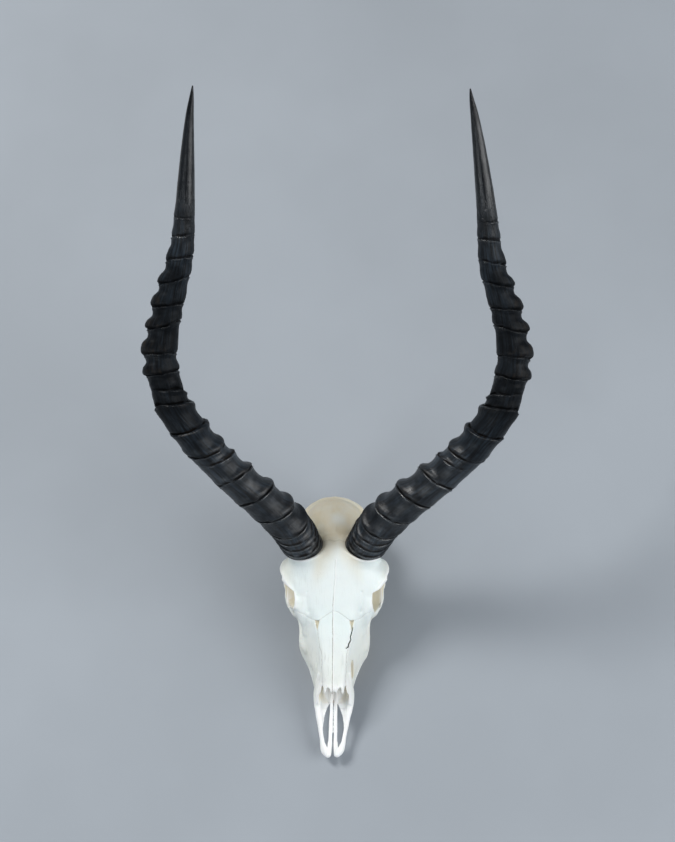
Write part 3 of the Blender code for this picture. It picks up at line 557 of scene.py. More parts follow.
class Tree:
    """Adds nodes to a tree and links them; a value may be a Number or a plain one."""

    def __init__(self, tree):
        self.tree = tree

    def feed(self, socket, value):
        if isinstance(value, Number):
            self.tree.links.new(value.socket, socket)
        else:
            socket.default_value = value

    def fill(self, node, inputs):
        """Feeds a node's inputs, by the name of a live one or by place; None leaves one alone."""
        for key, value in dict(inputs).items():
            if value is not None:
                live = [s for s in node.inputs if s.enabled and s.name == key]
                self.feed(live[0] if live else node.inputs[key], value)

    def add(self, kind, inputs=(), **settings):
        node = self.tree.nodes.new(kind)
        for key, value in settings.items():
            setattr(node, key, value)
        self.fill(node, inputs)
        return node

    def live(self, node, name=None):
        """A node's first live output, or the live one of that name."""
        return Number(self, [s for s in node.outputs if s.enabled and name in (None, s.name)][0])

    def out(self, kind, inputs=(), want=0, **settings):
        """One output of a new node: the one at a place, or a live one."""
        node = self.add(kind, inputs, **settings)
        return Number(self, node.outputs[want]) if isinstance(want, int) else self.live(node, want)

    def math(self, operation, *values):
        return self.out("ShaderNodeMath", enumerate(values), operation=operation)

    def most(self, one, two):
        return self.math("MAXIMUM", one, two)

    def vector(self, operation, *values):
        want = 1 if operation in ("DOT_PRODUCT", "DISTANCE") else 0
        return self.out("ShaderNodeVectorMath", enumerate(values), want, operation=operation)

    def scaled(self, vector, factor):
        return self.out("ShaderNodeVectorMath", {"Vector": vector, "Scale": factor}, operation="SCALE")

    def combine(self, x=0.0, y=0.0, z=0.0):
        return self.out("ShaderNodeCombineXYZ", {"X": x, "Y": y, "Z": z})

    def split(self, vector):
        return [Number(self, s) for s in self.add("ShaderNodeSeparateXYZ", {"Vector": vector}).outputs]

    def noise(self, vector, scale, detail, roughness, seed=None):
        return self.out("ShaderNodeTexNoise", {"Vector": vector, "Scale": scale, "Detail": detail,
                                               "Roughness": roughness, "W": seed},
                        noise_dimensions="3D" if seed is None else "4D")

    def ramp(self, value, low, high, to_low=0.0, to_high=1.0, kind="SMOOTHSTEP"):
        """Value from low..high mapped to to_low..to_high, held at the ends."""
        return self.out("ShaderNodeMapRange", {"Value": value, "From Min": low, "From Max": high,
                                               "To Min": to_low, "To Max": to_high}, interpolation_type=kind)

    def slope(self, value, low, high):
        """How far a value is from low to high, in a straight line held at 0 and 1."""
        return self.ramp(value, low, high, kind="LINEAR")

    def pick(self, test, yes, no):
        """The first value where the test is 1, the second where it is 0."""
        return self.math("MULTIPLY_ADD", test, yes - no, no)

    def curve(self, value, points, limit_low, limit_high):
        """A number looked up on a curve through points, whose heights lie between the limits."""
        first, last = points[0][0], points[-1][0]
        node = self.add("ShaderNodeFloatCurve", {"Value": self.slope(value, first, last)})
        line = node.mapping.curves[0]
        placed = [((x - first) / (last - first), (y - limit_low) / (limit_high - limit_low))
                  for x, y in points]
        line.points[0].location, line.points[-1].location = placed[0], placed[-1]
        for at in placed[1:-1]:
            line.points.new(*at)
        node.mapping.update()
        return self.math("MULTIPLY_ADD", Number(self, node.outputs[0]), limit_high - limit_low, limit_low)

    def mix(self, factor, one, two, blend="MIX"):
        one, two = (c if isinstance(c, Number) else (*c, 1.0) for c in (one, two))
        return self.out("ShaderNodeMix", {0: factor, 6: one, 7: two}, 2, data_type="RGBA", blend_type=blend,
                        clamp_factor=True)

    def attribute(self, name, want="Fac"):
        """A named number or vector of the mesh, for a material."""
        return self.out("ShaderNodeAttribute", (), want, attribute_name=name)

    def bump(self, height, strength, distance):
        return self.out("ShaderNodeBump", {"Height": height, "Strength": strength, "Distance": distance})


def new_material(name, viewport):
    """A material, its tree and its Principled shader."""
    made = bpy.data.materials.new(name)
    made.use_nodes = True
    made.diffuse_color = (*viewport, 1.0)
    return made, Tree(made.node_tree), made.node_tree.nodes["Principled BSDF"]


# ---------------------------------------------------------------- bone


class BoneField:
    """Distances to the bone's surface on a grid, in millimetres, negative inside; x starts at the midline."""

    FAR = 60.0

    def __init__(self, cell, low=(0.0, -9.0, -2.0), high=(62.0, 268.0, 138.0)):
        self.cell = cell
        self.axes = [np.arange(a, b + cell, cell, dtype=np.float32) for a, b in zip(low, high)]
        self.value = np.full([len(a) for a in self.axes], self.FAR, np.float32)

    def window(self, low, high):
        """The part of the grid inside a box: its slices and its coordinates ready to broadcast."""
        spans = [slice(*np.searchsorted(axis, (a, b))) for axis, a, b in zip(self.axes, low, high)]
        x, y, z = (axis[span] for axis, span in zip(self.axes, spans))
        return tuple(spans), x[:, None, None], y[None, :, None], z[None, None, :]

    def join(self, spans, distance, blend, sign=1):
        """Adds a shape with a soft seam; a sign of -1 cuts it out."""
        old = self.value[spans] * sign
        h = np.clip(0.5 + 0.5 * (old - distance) / blend, 0, 1)
        self.value[spans] = (old * (1 - h) + distance * h - blend * h * (1 - h)) * sign

    def cut(self, spans, distance, blend):
        self.join(spans, distance, blend, -1)

    def join_ball(self, centre, semi, blend, reach, tilt=0.0, sign=1):
        spans, x, y, z = self.window(np.subtract(centre, reach), np.add(centre, reach))
        self.join(spans, ellipsoid(x, y, z, centre, semi, tilt), blend, sign)

    def join_rod(self, points, blend, margin, sign=1):
        p = np.asarray(points)
        reach = p[:, 3:4] + margin
        spans, x, y, z = self.window((p[:, :3] - reach).min(0), (p[:, :3] + reach).max(0))
        self.join(spans, rod(x, y, z, points), blend, sign)

    def mirrored(self):
        """The whole skull's field, out of the half."""
        whole = BoneField.__new__(BoneField)
        whole.cell = self.cell
        x, y, z = self.axes
        whole.axes = [np.concatenate([-x[:0:-1], x]), y, z]
        whole.value = np.concatenate([self.value[:0:-1], self.value])
        return whole

    def start(self):
        return np.array([axis[0] for axis in self.axes])

    def at(self, points, values):
        """Values between the grid's nodes."""
        p = (points - self.start()) / self.cell
        i = np.clip(np.floor(p).astype(int), 0, np.array(values.shape) - 2)
        return blend_corners(np.clip(p - i, 0, 1),
                             lambda a, b, c: values[i[:, 0] + a, i[:, 1] + b, i[:, 2] + c])


def ellipsoid(x, y, z, centre, semi, tilt=0.0):
    """Distance to an ellipsoid tilted about x, good near its surface."""
    a, b, c = semi
    px, py, pz = x - centre[0], y - centre[1], z - centre[2]
    cos, sin = math.cos(math.radians(tilt)), math.sin(math.radians(tilt))
    qy, qz = py * cos + pz * sin, pz * cos - py * sin
    near = np.sqrt((px / a) ** 2 + (qy / b) ** 2 + (qz / c) ** 2)
    slope = np.sqrt((px / a**2) ** 2 + (qy / b**2) ** 2 + (qz / c**2) ** 2)
    return near * (near - 1.0) / np.maximum(slope, 1e-6)


def oval(across, up, half_across, half_up):
    """Distance to a flat ellipse, good near its edge."""
    near = np.sqrt((across / half_across) ** 2 + (up / half_up) ** 2)
    return (near - 1.0) * np.minimum(half_across, half_up)


def rod(x, y, z, points):
    """Distance to a rod through points that carry their own radius."""
    best = np.inf
    for a, b in zip(points[:-1], points[1:]):
        ax, ay, az, ar = a
        dx, dy, dz, dr = (q - p for p, q in zip(a, b))
        size = max(dx * dx + dy * dy + dz * dz, 1e-9)
        t = np.clip(((x - ax) * dx + (y - ay) * dy + (z - az) * dz) / size, 0, 1)
        d = np.sqrt((x - ax - t * dx) ** 2 + (y - ay - t * dy) ** 2 + (z - az - t * dz) ** 2) - (ar + t * dr)
        best = np.minimum(best, d)
    return best


def outline_distance(u, v, outline, closed=True):
    """Distance in a plane to an outline of points, negative inside."""
    points = list(outline)
    pairs = zip(points, points[1:] + points[:1]) if closed else zip(points[:-1], points[1:])
    best = np.full(np.broadcast(u, v).shape, 1e9, np.float32)
    inside = np.zeros(best.shape, bool)
    for (ax, ay), (bx, by) in pairs:
        dx, dy = bx - ax, by - ay
        t = np.clip(((u - ax) * dx + (v - ay) * dy) / max(dx * dx + dy * dy, 1e-9), 0, 1)
        best = np.minimum(best, (u - ax - t * dx) ** 2 + (v - ay - t * dy) ** 2)
        if dy:
            inside ^= ((ay > v) != (by > v)) & (u < dx * (v - ay) / dy + ax)
    best = np.sqrt(best)
    return np.where(inside, -best, best) if closed else best


def smooth_rod(points, parts=3):
    return catmull(points, (len(points) - 1) * parts + 1)


def nasal_passage(x, y, z):
    """Distance to the nasal passage's wall along its length."""
    backs, mids, wides, talls = zip(*NASAL_SECTIONS)
    mid, wide, tall = (np.interp(y, backs, c) for c in (mids, wides, talls))
    return oval(x, z - mid, wide, tall)


def add_face(field):
    """The long face, slice by slice, from its cross sections."""
    backs = [back for back, half in FACE_SECTIONS]
    rings = []
    for back, half in FACE_SECTIONS:
        whole = list(half) + [(-x, z) for x, z in reversed(half[1:-1])]
        rings.append(catmull(whole, 2 * (HALF_OUTLINE_POINTS - 1), closed=True)[:HALF_OUTLINE_POINTS])
    stations = np.column_stack([backs, np.reshape(rings, (len(rings), -1))])
    stations = catmull(stations, 20 * len(backs))
    spans, x, y, z = field.window((-1, backs[0] - 8, 8), (60, backs[-1] + 8, 114))
    value = np.empty(np.broadcast(x, y, z).shape, np.float32)
    for j, back in enumerate(y[0, :, 0]):
        at = np.interp(back, stations[:, 0], np.arange(len(stations)))
        one, two = stations[int(at)], stations[min(int(at) + 1, len(stations) - 1)]
        outline = (one + (at - int(at)) * (two - one))[1:].reshape(HALF_OUTLINE_POINTS, 2).tolist()
        outline = [(-9.0, outline[0][1])] + outline + [(-9.0, outline[-1][1])]
        flat = outline_distance(x[:, 0], z[0], outline)
        value[:, j] = np.maximum(flat, max(backs[0] - back, back - backs[-1]))
    field.join(spans, value, 3.0)


def add_pedicle(field, path, stub_radius):
    """The swelling under a horn, cut clean below the rim, and the stub inside the sheath."""
    place, direction, side = path.base()
    spans, x, y, z = field.window(place - 58, place + 58)
    points = [(*(place + direction * s), r) for s, r in PEDICLE]
    field.join(spans, rod(x, y, z, points), 4.0)
    px, py, pz = x - place[0], y - place[1], z - place[2]
    along = px * direction[0] + py * direction[1] + pz * direction[2]
    across = px * side[0] + py * side[1] + pz * side[2]
    radial = np.sqrt(np.maximum(px**2 + py**2 + pz**2 - along**2, 0))
    tilted = along + across * 0.25
    level, wall = -0.7 - tilted, radial - 24.5 - np.maximum(along, 0) * 0.35
    corner = np.maximum(CORNER_ROUND - np.abs(level - wall), 0)
    field.cut(spans, np.maximum(level, wall) + corner**2 / (4 * CORNER_ROUND), 1.6)
    narrow = stub_radius - np.clip(along, 0, 30) * 0.045
    field.join(spans, np.maximum(radial - narrow, along - STUB_HEIGHT), 1.5)


def add_plate(field):
    """The thin floor of the nose between the prongs, and its thin scrolls inside the opening."""
    spans, x, y, z = field.window((-1, 14, 8), (24, 74, 40))
    level = np.interp(y, *zip(*PLATE_HEIGHT))
    wide = np.interp(y, *zip(*PLATE_HALF_WIDTH))
    plate = np.maximum(np.abs(z - level) - 0.55, np.abs(x) - wide)
    field.join(spans, np.maximum(plate, 21.0 - y), 0.8)
    for start, end, lift in ((6.0, 8.5, 3.0), (10.5, 12.5, 1.0)):
        spans, x, y, z = field.window((0, 58, 15), (24, 112, 60))
        middle = start + (end - start) * np.clip((y - 60) / 42, 0, 1) + 0.6 * np.sin(y * 0.35 + z * 0.3)
        top = 29 + lift + (y - 60) * 0.62
        scroll = np.maximum(np.abs(x - middle) - 0.55, np.maximum(z - top, 62 + (z - 20) * 0.5 - y))
        curl = np.hypot(x - middle - 1.6, z - top + 1.0) - 1.9
        curled = np.maximum(np.abs(curl) - 0.5, np.maximum(66 - y, y - 105))
        field.join(spans, np.minimum(np.maximum(scroll, y - 108), curled), 0.9)


def add_shelf(field, outline):
    """Bone below an orbit gap, so that the gap shows a flat cream floor."""
    bottom, top, widest = ORBIT_SHELF
    middle = np.mean(outline, axis=0)[0]
    spans, x, y, z = field.window((middle - 12, 130, bottom - 3), (middle + 12, 182, top + 3))
    u, v = seen_from_front(x, y, z)
    shelf = np.maximum(outline_distance(u, v, outline) - 1.5, np.maximum(bottom - z, z - top))
    field.join(spans, np.maximum(shelf, np.abs(x) - widest), 0.8)


def cut_seen(field, outline, blend, floor=((0, -5), (1, -5)), closed=True, half_width=0.0):
    """Cuts an opening drawn as seen from the front, down to a floor of heights along the face."""
    us, vs = zip(*outline)
    nearest, furthest = (READ_CENTRE_F + (READ_CENTRE - v) * 1.01 for v in (max(vs) + 4, min(vs) - 4))
    low = (min(us) - 3, (nearest - 100 * math.sin(FACE_TILT)) / math.cos(FACE_TILT), 5)
    high = (max(us) + 3, furthest / math.cos(FACE_TILT), 112)
    spans, x, y, z = field.window(low, high)
    u, v = seen_from_front(x, y, z)
    flat = outline_distance(u, v, outline, closed) - half_width
    field.cut(spans, np.maximum(flat, np.interp(y, *zip(*floor)) - z), blend)


def cut_hollows(field):
    """The nasal passage, orbits, braincase, choana and the way into each."""
    spans, x, y, z = field.window((-1, 30, 10), (26, 142, 72))
    ends = np.maximum(NASAL_SECTIONS[0][0] - y, y - NASAL_SECTIONS[-1][0])
    field.cut(spans, np.maximum(nasal_passage(x, y, z), ends), 1.5)
    for centre, semi in (BRAIN_CAVITY, CHOANA, ORBIT):
        field.join_ball(centre, semi, 1.6, np.add(semi, 4), sign=-1)
    for way in (FORAMEN_MAGNUM, CHOANA_WAY):
        field.join_rod(way, 1.5, 4, sign=-1)


def add_orbit_floor(field):
    """The thin bowl behind the lower orbit rim, seen as cream bone through the gap beside the brow."""
    centre, semi = ORBIT
    outer = np.add(semi, ORBIT_FLOOR_WALL)
    spans, x, y, z = field.window(np.subtract(centre, outer) - 4, np.add(centre, outer) + 4)
    shell = np.maximum(ellipsoid(x, y, z, centre, outer), -ellipsoid(x, y, z, centre, semi))
    field.join(spans, np.maximum(np.maximum(shell, z - 58.0), x - 47.5), 1.2)


def add_processes(field):
    """The long process behind the ear, clean below so that the skull stands on its tip."""
    spans, x, y, z = field.window((18, 226, -2), (38, 252, 40))
    px, backs, heights, wides, longs = zip(*PROCESS)
    back, wide, long = (np.interp(z, heights, c) for c in (backs, wides, longs))
    body = oval(x - px[0], y - back, wide, long)
    field.join(spans, np.maximum(body, np.maximum(-z, z - 36.0)), 2.0)
    field.value[:, :, :] = np.maximum(field.value, 0.05 - field.axes[2][None, None, :])


def tooth_row():
    """Each tooth with the middle of its length."""
    placed, front = [], TOOTH_ROW_FRONT
    for name, long, wide, middle in TEETH:
        placed.append((name, long, wide, middle, front + long / 2))
        front += long
    return placed


def cut_sockets(field):
    for name, long, wide, middle, back in tooth_row():
        spans, x, y, z = field.window((middle - 12, back - 12, -2), (middle + 12, back + 12, 32))
        across = np.abs(x - middle) - (wide / 2 + SOCKET_MARGIN)
        along = np.abs(y - back) - (long / 2 + SOCKET_MARGIN)
        field.cut(spans, np.maximum(np.maximum(across, along), z - TOOTH_TOP - SOCKET_MARGIN), 0.4)


def surface_net(field):
    """The field's zero level: a point for each crossed cell, a face for each crossed edge."""
    value = field.value
    inside = value < 0
    total = np.zeros(np.subtract(value.shape, 1), np.int8)
    nx, ny, nz = total.shape
    for a, b, c in CORNERS:
        total += inside[a:a + nx, b:b + ny, c:c + nz]
    mixed = (total > 0) & (total < 8)
    number_of = np.full(mixed.shape, -1, np.int64)
    number_of[mixed] = np.arange(mixed.sum())
    where = np.argwhere(mixed)
    sums, hits, faces = np.zeros((len(where), 3)), np.zeros(len(where)), []
    for axis in range(3):
        j, k = (a for a in range(3) if a != axis)
        first, second, step = np.eye(3, dtype=int)[[j, k, axis]]
        for a, b in ((0, 0), (0, 1), (1, 0), (1, 1)):
            start = where + a * first + b * second
            one, two = value[tuple(start.T)], value[tuple((start + step).T)]
            crossed = (one < 0) != (two < 0)
            t = one[crossed] / (one[crossed] - two[crossed])
            sums[crossed] += start[crossed] + t[:, None] * step
            hits += crossed
        ahead = np.take(inside, range(1, inside.shape[axis]), axis)
        here = np.take(inside, range(inside.shape[axis] - 1), axis)
        edges = np.argwhere(ahead != here)
        edges = edges[(edges[:, j] > 0) & (edges[:, k] > 0)]
        quads = np.stack([number_of[tuple((edges - a * first - b * second).T)]
                          for a, b in ((1, 1), (0, 1), (0, 0), (1, 0))], 1)
        turned = here[tuple(edges.T)] == (axis != 1)
        quads[~turned] = quads[~turned][:, ::-1]
        faces.append(quads)
    return sums / hits[:, None] * field.cell + field.start(), np.concatenate(faces)


def blurred(inside, reach):
    """How much of the neighbourhood is bone: above a half in hollows, below it on edges."""
    value = inside.astype(np.float32)
    for axis in (0, 1, 2, 0, 1, 2):
        margins = [(reach + 1, reach) if a == axis else (0, 0) for a in range(3)]
        total = np.cumsum(np.pad(value, margins, mode="edge"), axis=axis, dtype=np.float32)
        size, wide = value.shape[axis], 2 * reach + 1
        value = (np.take(total, range(wide, wide + size), axis) - np.take(total, range(size), axis)) / wide
    return value


def snout_lean(y):
    """How far the snout leans to the animal's right towards its tip."""
    return SNOUT_LEAN * np.clip((SNOUT_LEAN_FROM - y) / SNOUT_LEAN_FROM, 0, 1.2) ** 1.3


def seam_offsets(points):
    """For each group of sutures: the signed distance to the nearest one, and how near it is from 1 to 0."""
    u, v = seen_from_front(*points.T)
    wander = smooth_noise(points, 2.2, 31) * 0.35 + smooth_noise(points, 7.0, 32) * 0.6
    offsets, nearness = np.zeros((len(points), 3)), np.zeros((len(points), 3))
    for k, group in enumerate(SUTURES):
        best = np.full(len(points), np.inf)
        for both, line in group:
            shift = wander * (1.0 if both else 0.3)
            across, down = (np.abs(u) if both else u) + shift, v + shift * 0.6
            for (au, av), (bu, bv) in zip(line[:-1], line[1:]):
                du, dv = bu - au, bv - av
                held = np.clip(((across - au) * du + (down - av) * dv) / (du * du + dv * dv), 0, 1)
                gap_u, gap_v = across - au - held * du, down - av - held * dv
                near = np.hypot(gap_u, gap_v)
                taken = near < best
                best[taken] = near[taken]
                offsets[taken, k] = (near * np.sign(gap_u * dv - gap_v * du))[taken]
        nearness[:, k] = np.clip(1.0 - best / SEAM_REACH, 0, 1)
    return np.clip(offsets, -SEAM_REACH * 3, SEAM_REACH * 3), nearness


def lining(points):
    """How near a point is to the inner walls that keep their cream colour: 1 on them, 0 well away, and below
    zero on the painted highlight on the snout's side.
    """
    u, v = seen_from_front(*points.T)
    x, y, z = np.abs(points[:, 0]), points[:, 1], points[:, 2]
    walls = (np.maximum(nasal_passage(x, y, z), 50 - y), ellipsoid(x, y, z, *ORBIT),
             ellipsoid(x, y, z, *BRAIN_CAVITY))
    near = np.exp(-np.maximum(np.min(walls, axis=0) - 0.5, 0) / 0.8)
    bowl = sum(np.clip(0.8 - outline_distance(u, v, outline) / 0.8, 0, 1) for outline in ORBIT_GAPS)
    gap, slit, glint = (np.clip(reach - outline_distance(across, v, outline), 0, 1)
                         for across, outline, reach in ((np.abs(u), FACE_VACUITY, 0.6),
                                                        (u, BEIGE_SLIT, 0.4), (u, GLINT_SLIT, 0.5)))
    # The painted highlight fades out within 5 mm above the slit floor's heights
    glint = glint * np.clip((z - np.interp(y, *zip(*BEIGE_SLIT_FLOOR))) / 5.0, 0, 1)
    above = z > SEAMS_LIE_ABOVE
    beyond = (z > ORBIT_CREAM_BELOW) & (y > 60)
    inner = np.maximum(near * ~beyond, np.clip(bowl, 0, 1) * (z < ORBIT_CREAM_BELOW))
    return np.maximum(inner, np.maximum(gap, slit) * above) - glint * above


def make_bone_field(cell, stub_radius):
    """The skull's +x half: bone put together, hollows cut, the nose's thin bone, then the small cuts."""
    field = BoneField(cell)
    add_face(field)
    for blend, centre, semi, tilt in MASSES.values():
        field.join_ball(centre, semi, blend, max(semi) + 6, tilt)
    rods = {name: (smooth_rod(points), blend, 7) for name, (blend, points) in RODS.items()}
    prongs = [rods.pop(name) for name in ("premaxilla_prong", "premaxilla_middle")]
    for rod_of_bone in rods.values():
        field.join_rod(*rod_of_bone)
    add_pedicle(field, HORNS["horn_left"], stub_radius)
    cut_hollows(field)
    add_orbit_floor(field)
    cut_seen(field, NOSE_OPENING, 0.6, PLATE_HEIGHT)
    for prong in prongs:
        field.join_rod(*prong)
    add_plate(field)
    cut_seen(field, PALATE_FISSURE, 0.8)
    cut_seen(field, MIDDLE_SLOT, 0.3)
    cut_seen(field, WING_EDGE, 2.0, WING_FLOOR)
    cut_seen(field, FACE_VACUITY, 0.8, VACUITY_FLOOR)
    for points, blend in ((SUPRAORBITAL_HOLE, 0.6), (SUPRAORBITAL_FURROW, 1.6), (LACRIMAL_HOLE, 0.8)):
        field.join_rod(smooth_rod(points), blend, 4, sign=-1)
    cut_sockets(field)
    add_processes(field)
    return field


def drop_bubbles(mesh):
    """Deletes the closed surfaces of bubbles in the bone, also where one touches the outer surface."""
    work = bmesh.new()
    work.from_mesh(mesh)
    left, surfaces = set(work.faces), []
    while left:
        surface = [left.pop()]
        for face in surface:
            for edge in face.edges:
                if len(edge.link_faces) == 2:
                    fresh = left.intersection(edge.link_faces)
                    left -= fresh
                    surface.extend(fresh)
        surfaces.append(surface)
    surfaces.remove(max(surfaces, key=len))
    bmesh.ops.delete(work, geom=[face for surface in surfaces for face in surface], context="FACES")
    work.to_mesh(mesh)
    work.free()


def bone_mesh(settings):
    """The skull's surface with fewer faces, all but its seams, its relief and what its material reads."""
    field = make_bone_field(settings.cell / MM, settings.stub_radius / MM).mirrored()
    for outline in ORBIT_GAPS:
        add_shelf(field, outline)
        cut_seen(field, outline, 0.5, ORBIT_GAP_FLOOR)
    cut_seen(field, BEIGE_SLIT, 0.4, BEIGE_SLIT_FLOOR)
    cut_seen(field, CRACK, 0.4, CRACK_FLOOR, closed=False, half_width=0.5)
    points, faces = surface_net(field)
    leaning = points.copy()
    leaning[:, 0] -= snout_lean(points[:, 1])
    made = new_piece("skull_work", mesh_from("skull", metres(leaning), faces))
    offsets = np.abs(seam_offsets(points)[0]).min(1)
    kept = np.flatnonzero((offsets < SEAM_KEPT) & (points[:, 2] > SEAMS_LIE_ABOVE))
    made.vertex_groups.new(name="Seams").add(kept.tolist(), 1.0, "REPLACE")
    mend = made.modifiers.new("Fewer faces", "DECIMATE")
    mend.vertex_group = "Seams"
    mend.invert_vertex_group = True
    mend.ratio = min(1.0, settings.face_count / (2.0 * len(faces)))
    thin = plain_mesh(made)
    bpy.data.meshes.remove(made.data)
    drop_bubbles(thin)
    dress_bone(thin, field, settings)
    return thin


def dress_bone(mesh, field, settings):
    """Relief, sutures and the numbers that the bone material reads."""
    placed, normals = np.empty(len(mesh.vertices) * 3), np.empty(len(mesh.vertices) * 3, np.float32)
    mesh.vertices.foreach_get("co", placed)
    mesh.vertex_normals.foreach_get("vector", normals)
    placed, normals = placed.reshape(-1, 3), normals.reshape(-1, 3)
    straight = placed / MM - SHIFT
    straight[:, 0] += snout_lean(straight[:, 1])
    offsets, nearness = seam_offsets(straight)
    upward = np.clip((normals[:, 2] - normals[:, 1] * 0.4 - 0.15) * 4, 0, 1)
    relief = smooth_noise(straight, 11.0, 3) + 0.5 * smooth_noise(straight, 4.5, 4)
    groove = np.exp(-((offsets / 0.7) ** 2)).max(1) * upward * 0.25
    clear = np.clip((straight[:, 2] - 1.0) / 3.0, 0, 1)
    placed += normals * ((relief * settings.relief / MM - groove) * clear * MM)[:, None]
    mesh.vertices.foreach_set("co", placed.ravel())
    store(mesh, "seam_offset", offsets)
    store(mesh, "seam_near", nearness * upward[:, None])
    for name, reach in (("hollow", HOLLOW_REACH), ("shelter", SHELTER_REACH)):
        store(mesh, name, field.at(straight, blurred(field.value < 0, int(round(reach / field.cell)))))
    store(mesh, "lining", lining(straight))
    mesh.shade_smooth()
    mesh.update()


def bone_material(settings):
    """Bleached bone: white above, cream on the crown and inside, hairline seams, pores, faint streaks."""
    made, tree, shader = new_material("bleached_bone", settings.bleached)
    mix, most, noise, ramp = tree.mix, tree.most, tree.noise, tree.ramp
    place = tree.out("ShaderNodeTexCoord", (), "Object")
    x, y, z = tree.split(place)
    beside = tree.math("ABSOLUTE", x)
    hollow, shelter, inner = (tree.attribute(name) for name in ("hollow", "shelter", "lining"))
    offsets, nears = (tree.split(tree.attribute(name, "Vector")) for name in ("seam_offset", "seam_near"))

    # Cream reaches forward between the horns in a Y and covers the crown behind them
    patch = noise(place, 32.0, 4.0, 0.6, 2.0)
    cloud = noise(place, 14.0, 3.0, 0.55, 6.0)
    crown = ramp(beside * 1.1 + (cloud * -0.03 + y), -0.088, -0.046) * ramp(beside, 0.030, 0.016)
    pale = ramp(tree.vector("DISTANCE", place, (0.002, -0.022, 0.104)), 0.014, 0.005) * 0.5
    crown = most(crown, ramp(y, -0.052, -0.030)) - pale
    brow = ramp(beside, 0.040, 0.053) * ramp(y, -0.100, -0.086)
    warm = most(most(crown * 0.92, ramp(z, 0.075, 0.035) * 0.30), brow * 0.30)
    warm = most(warm * ramp(patch, 0.25, 0.7, 0.7, 1.15), inner * 0.90) + ramp(shelter, 0.58, 0.8, 0.0, 0.35)
    base = mix(warm, settings.bleached, settings.cream)

    # Cool clouds, faint streaks along the face and paler thin edges; the snout's front painted whiter as
    # painted light, and a painted highlight in one slit
    mottle = noise(place, 90.0, 5.0, 0.65, 5.0)
    base = mix(ramp(cloud, 0.36, 0.66, 0.0, 0.45), base, settings.cool, "MULTIPLY")
    base = mix(ramp(mottle, 0.40, 0.75, 0.0, 0.22), base, (0.74, 0.77, 0.78))
    streak = noise(tree.vector("MULTIPLY", place, (1.0, 0.10, 0.25)), 520.0, 3.0, 0.6, 9.0)
    forward, right = ramp(y, -0.135, -0.165, 0.15, 0.85), ramp(x * -1.0, 0.006, 0.014, 0.45)
    drawn = ramp(streak, 0.50, 0.70) * (forward * right)
    base = mix(drawn * 0.8, base, (0.43, 0.45, 0.42))
    # Painted light: the front of the snout painted whiter, so that its shaded opening, plate and prongs look
    # lit
    base = mix(ramp(y, -0.178, -0.205, 0.0, 0.7), base, (0.95, 0.95, 0.94))
    # Painted highlight where the lining is below zero, on the animal's right of the snout
    base = mix(ramp(inner, -0.1, -0.9), base, (0.95, 0.95, 0.93))
    # Paler where little bone lies round a point, on thin edges and rods
    base = mix(ramp(hollow, 0.44, 0.30, 0.0, 0.7), base, (0.90, 0.905, 0.90))

    # Colour darkens to brown deep in pits and narrow hollows, where the most bone lies round a point; inner
    # walls keep their own cream
    pitted = ramp(hollow, 0.62, 0.84, 0.0, 0.75) * ramp(inner, 0.2, 1.0, 1.0, 0.45)
    base = mix(pitted, base, mix(inner, settings.seam, (0.42, 0.34, 0.22)))
    pores = tree.out("ShaderNodeTexVoronoi", {"Vector": place, "Scale": 620.0}, "Distance")
    pore = ramp(pores, 0.22, 0.10) * ramp(patch, 0.48, 0.66)
    base = mix(pore * 0.4, base, settings.seam)

    # Hairline seams: the middle one straight and darkest down the nose, the rest finely broken
    fray = (noise(place, 700.0, 2.0, 0.5, 7.0) - 0.5) * 0.9
    lines = []
    for offset, near, width, depth in zip(offsets, nears, (0.38, 0.30, 0.26), (0.95, 0.5, 0.28)):
        line = ramp(tree.math("ABSOLUTE", offset + fray), width + 0.22, width * 0.4) * ramp(near, 0.45, 0.8)
        lines.append(line * (ramp(mottle, 0.3, 0.55, 0.45, 1.0) * depth))
    seams = most(most(lines[0] * ramp(y, -0.096, -0.106, 0.3, 1.0), lines[1]), lines[2])
    base = mix(seams * 0.8, base, settings.seam)
    # Painted highlight: a pale line along one side of the middle seam
    seam_glint = ramp(tree.math("ABSOLUTE", offsets[0] - 1.0), 0.7, 0.2) * ramp(nears[0], 0.4, 0.6)
    base = mix(seam_glint * 0.6, base, (0.93, 0.93, 0.92))

    bumps = noise(place, 900.0, 4.0, 0.7) * 0.35 + streak * 0.45 - pore * 0.8 - seams * 1.6
    tree.fill(shader, {
        "Base Color": base, "Roughness": mottle * 0.28 + 0.40 + ramp(hollow, 0.5, 0.75, 0.0, 0.15),
        "IOR": 1.48, "Subsurface Weight": 0.06, "Subsurface Radius": (1.0, 0.7, 0.45),
        "Subsurface Scale": 0.0015, "Normal": tree.bump(bumps, 0.35, 0.0006)})
    return made


# ---------------------------------------------------------------- horn sheaths


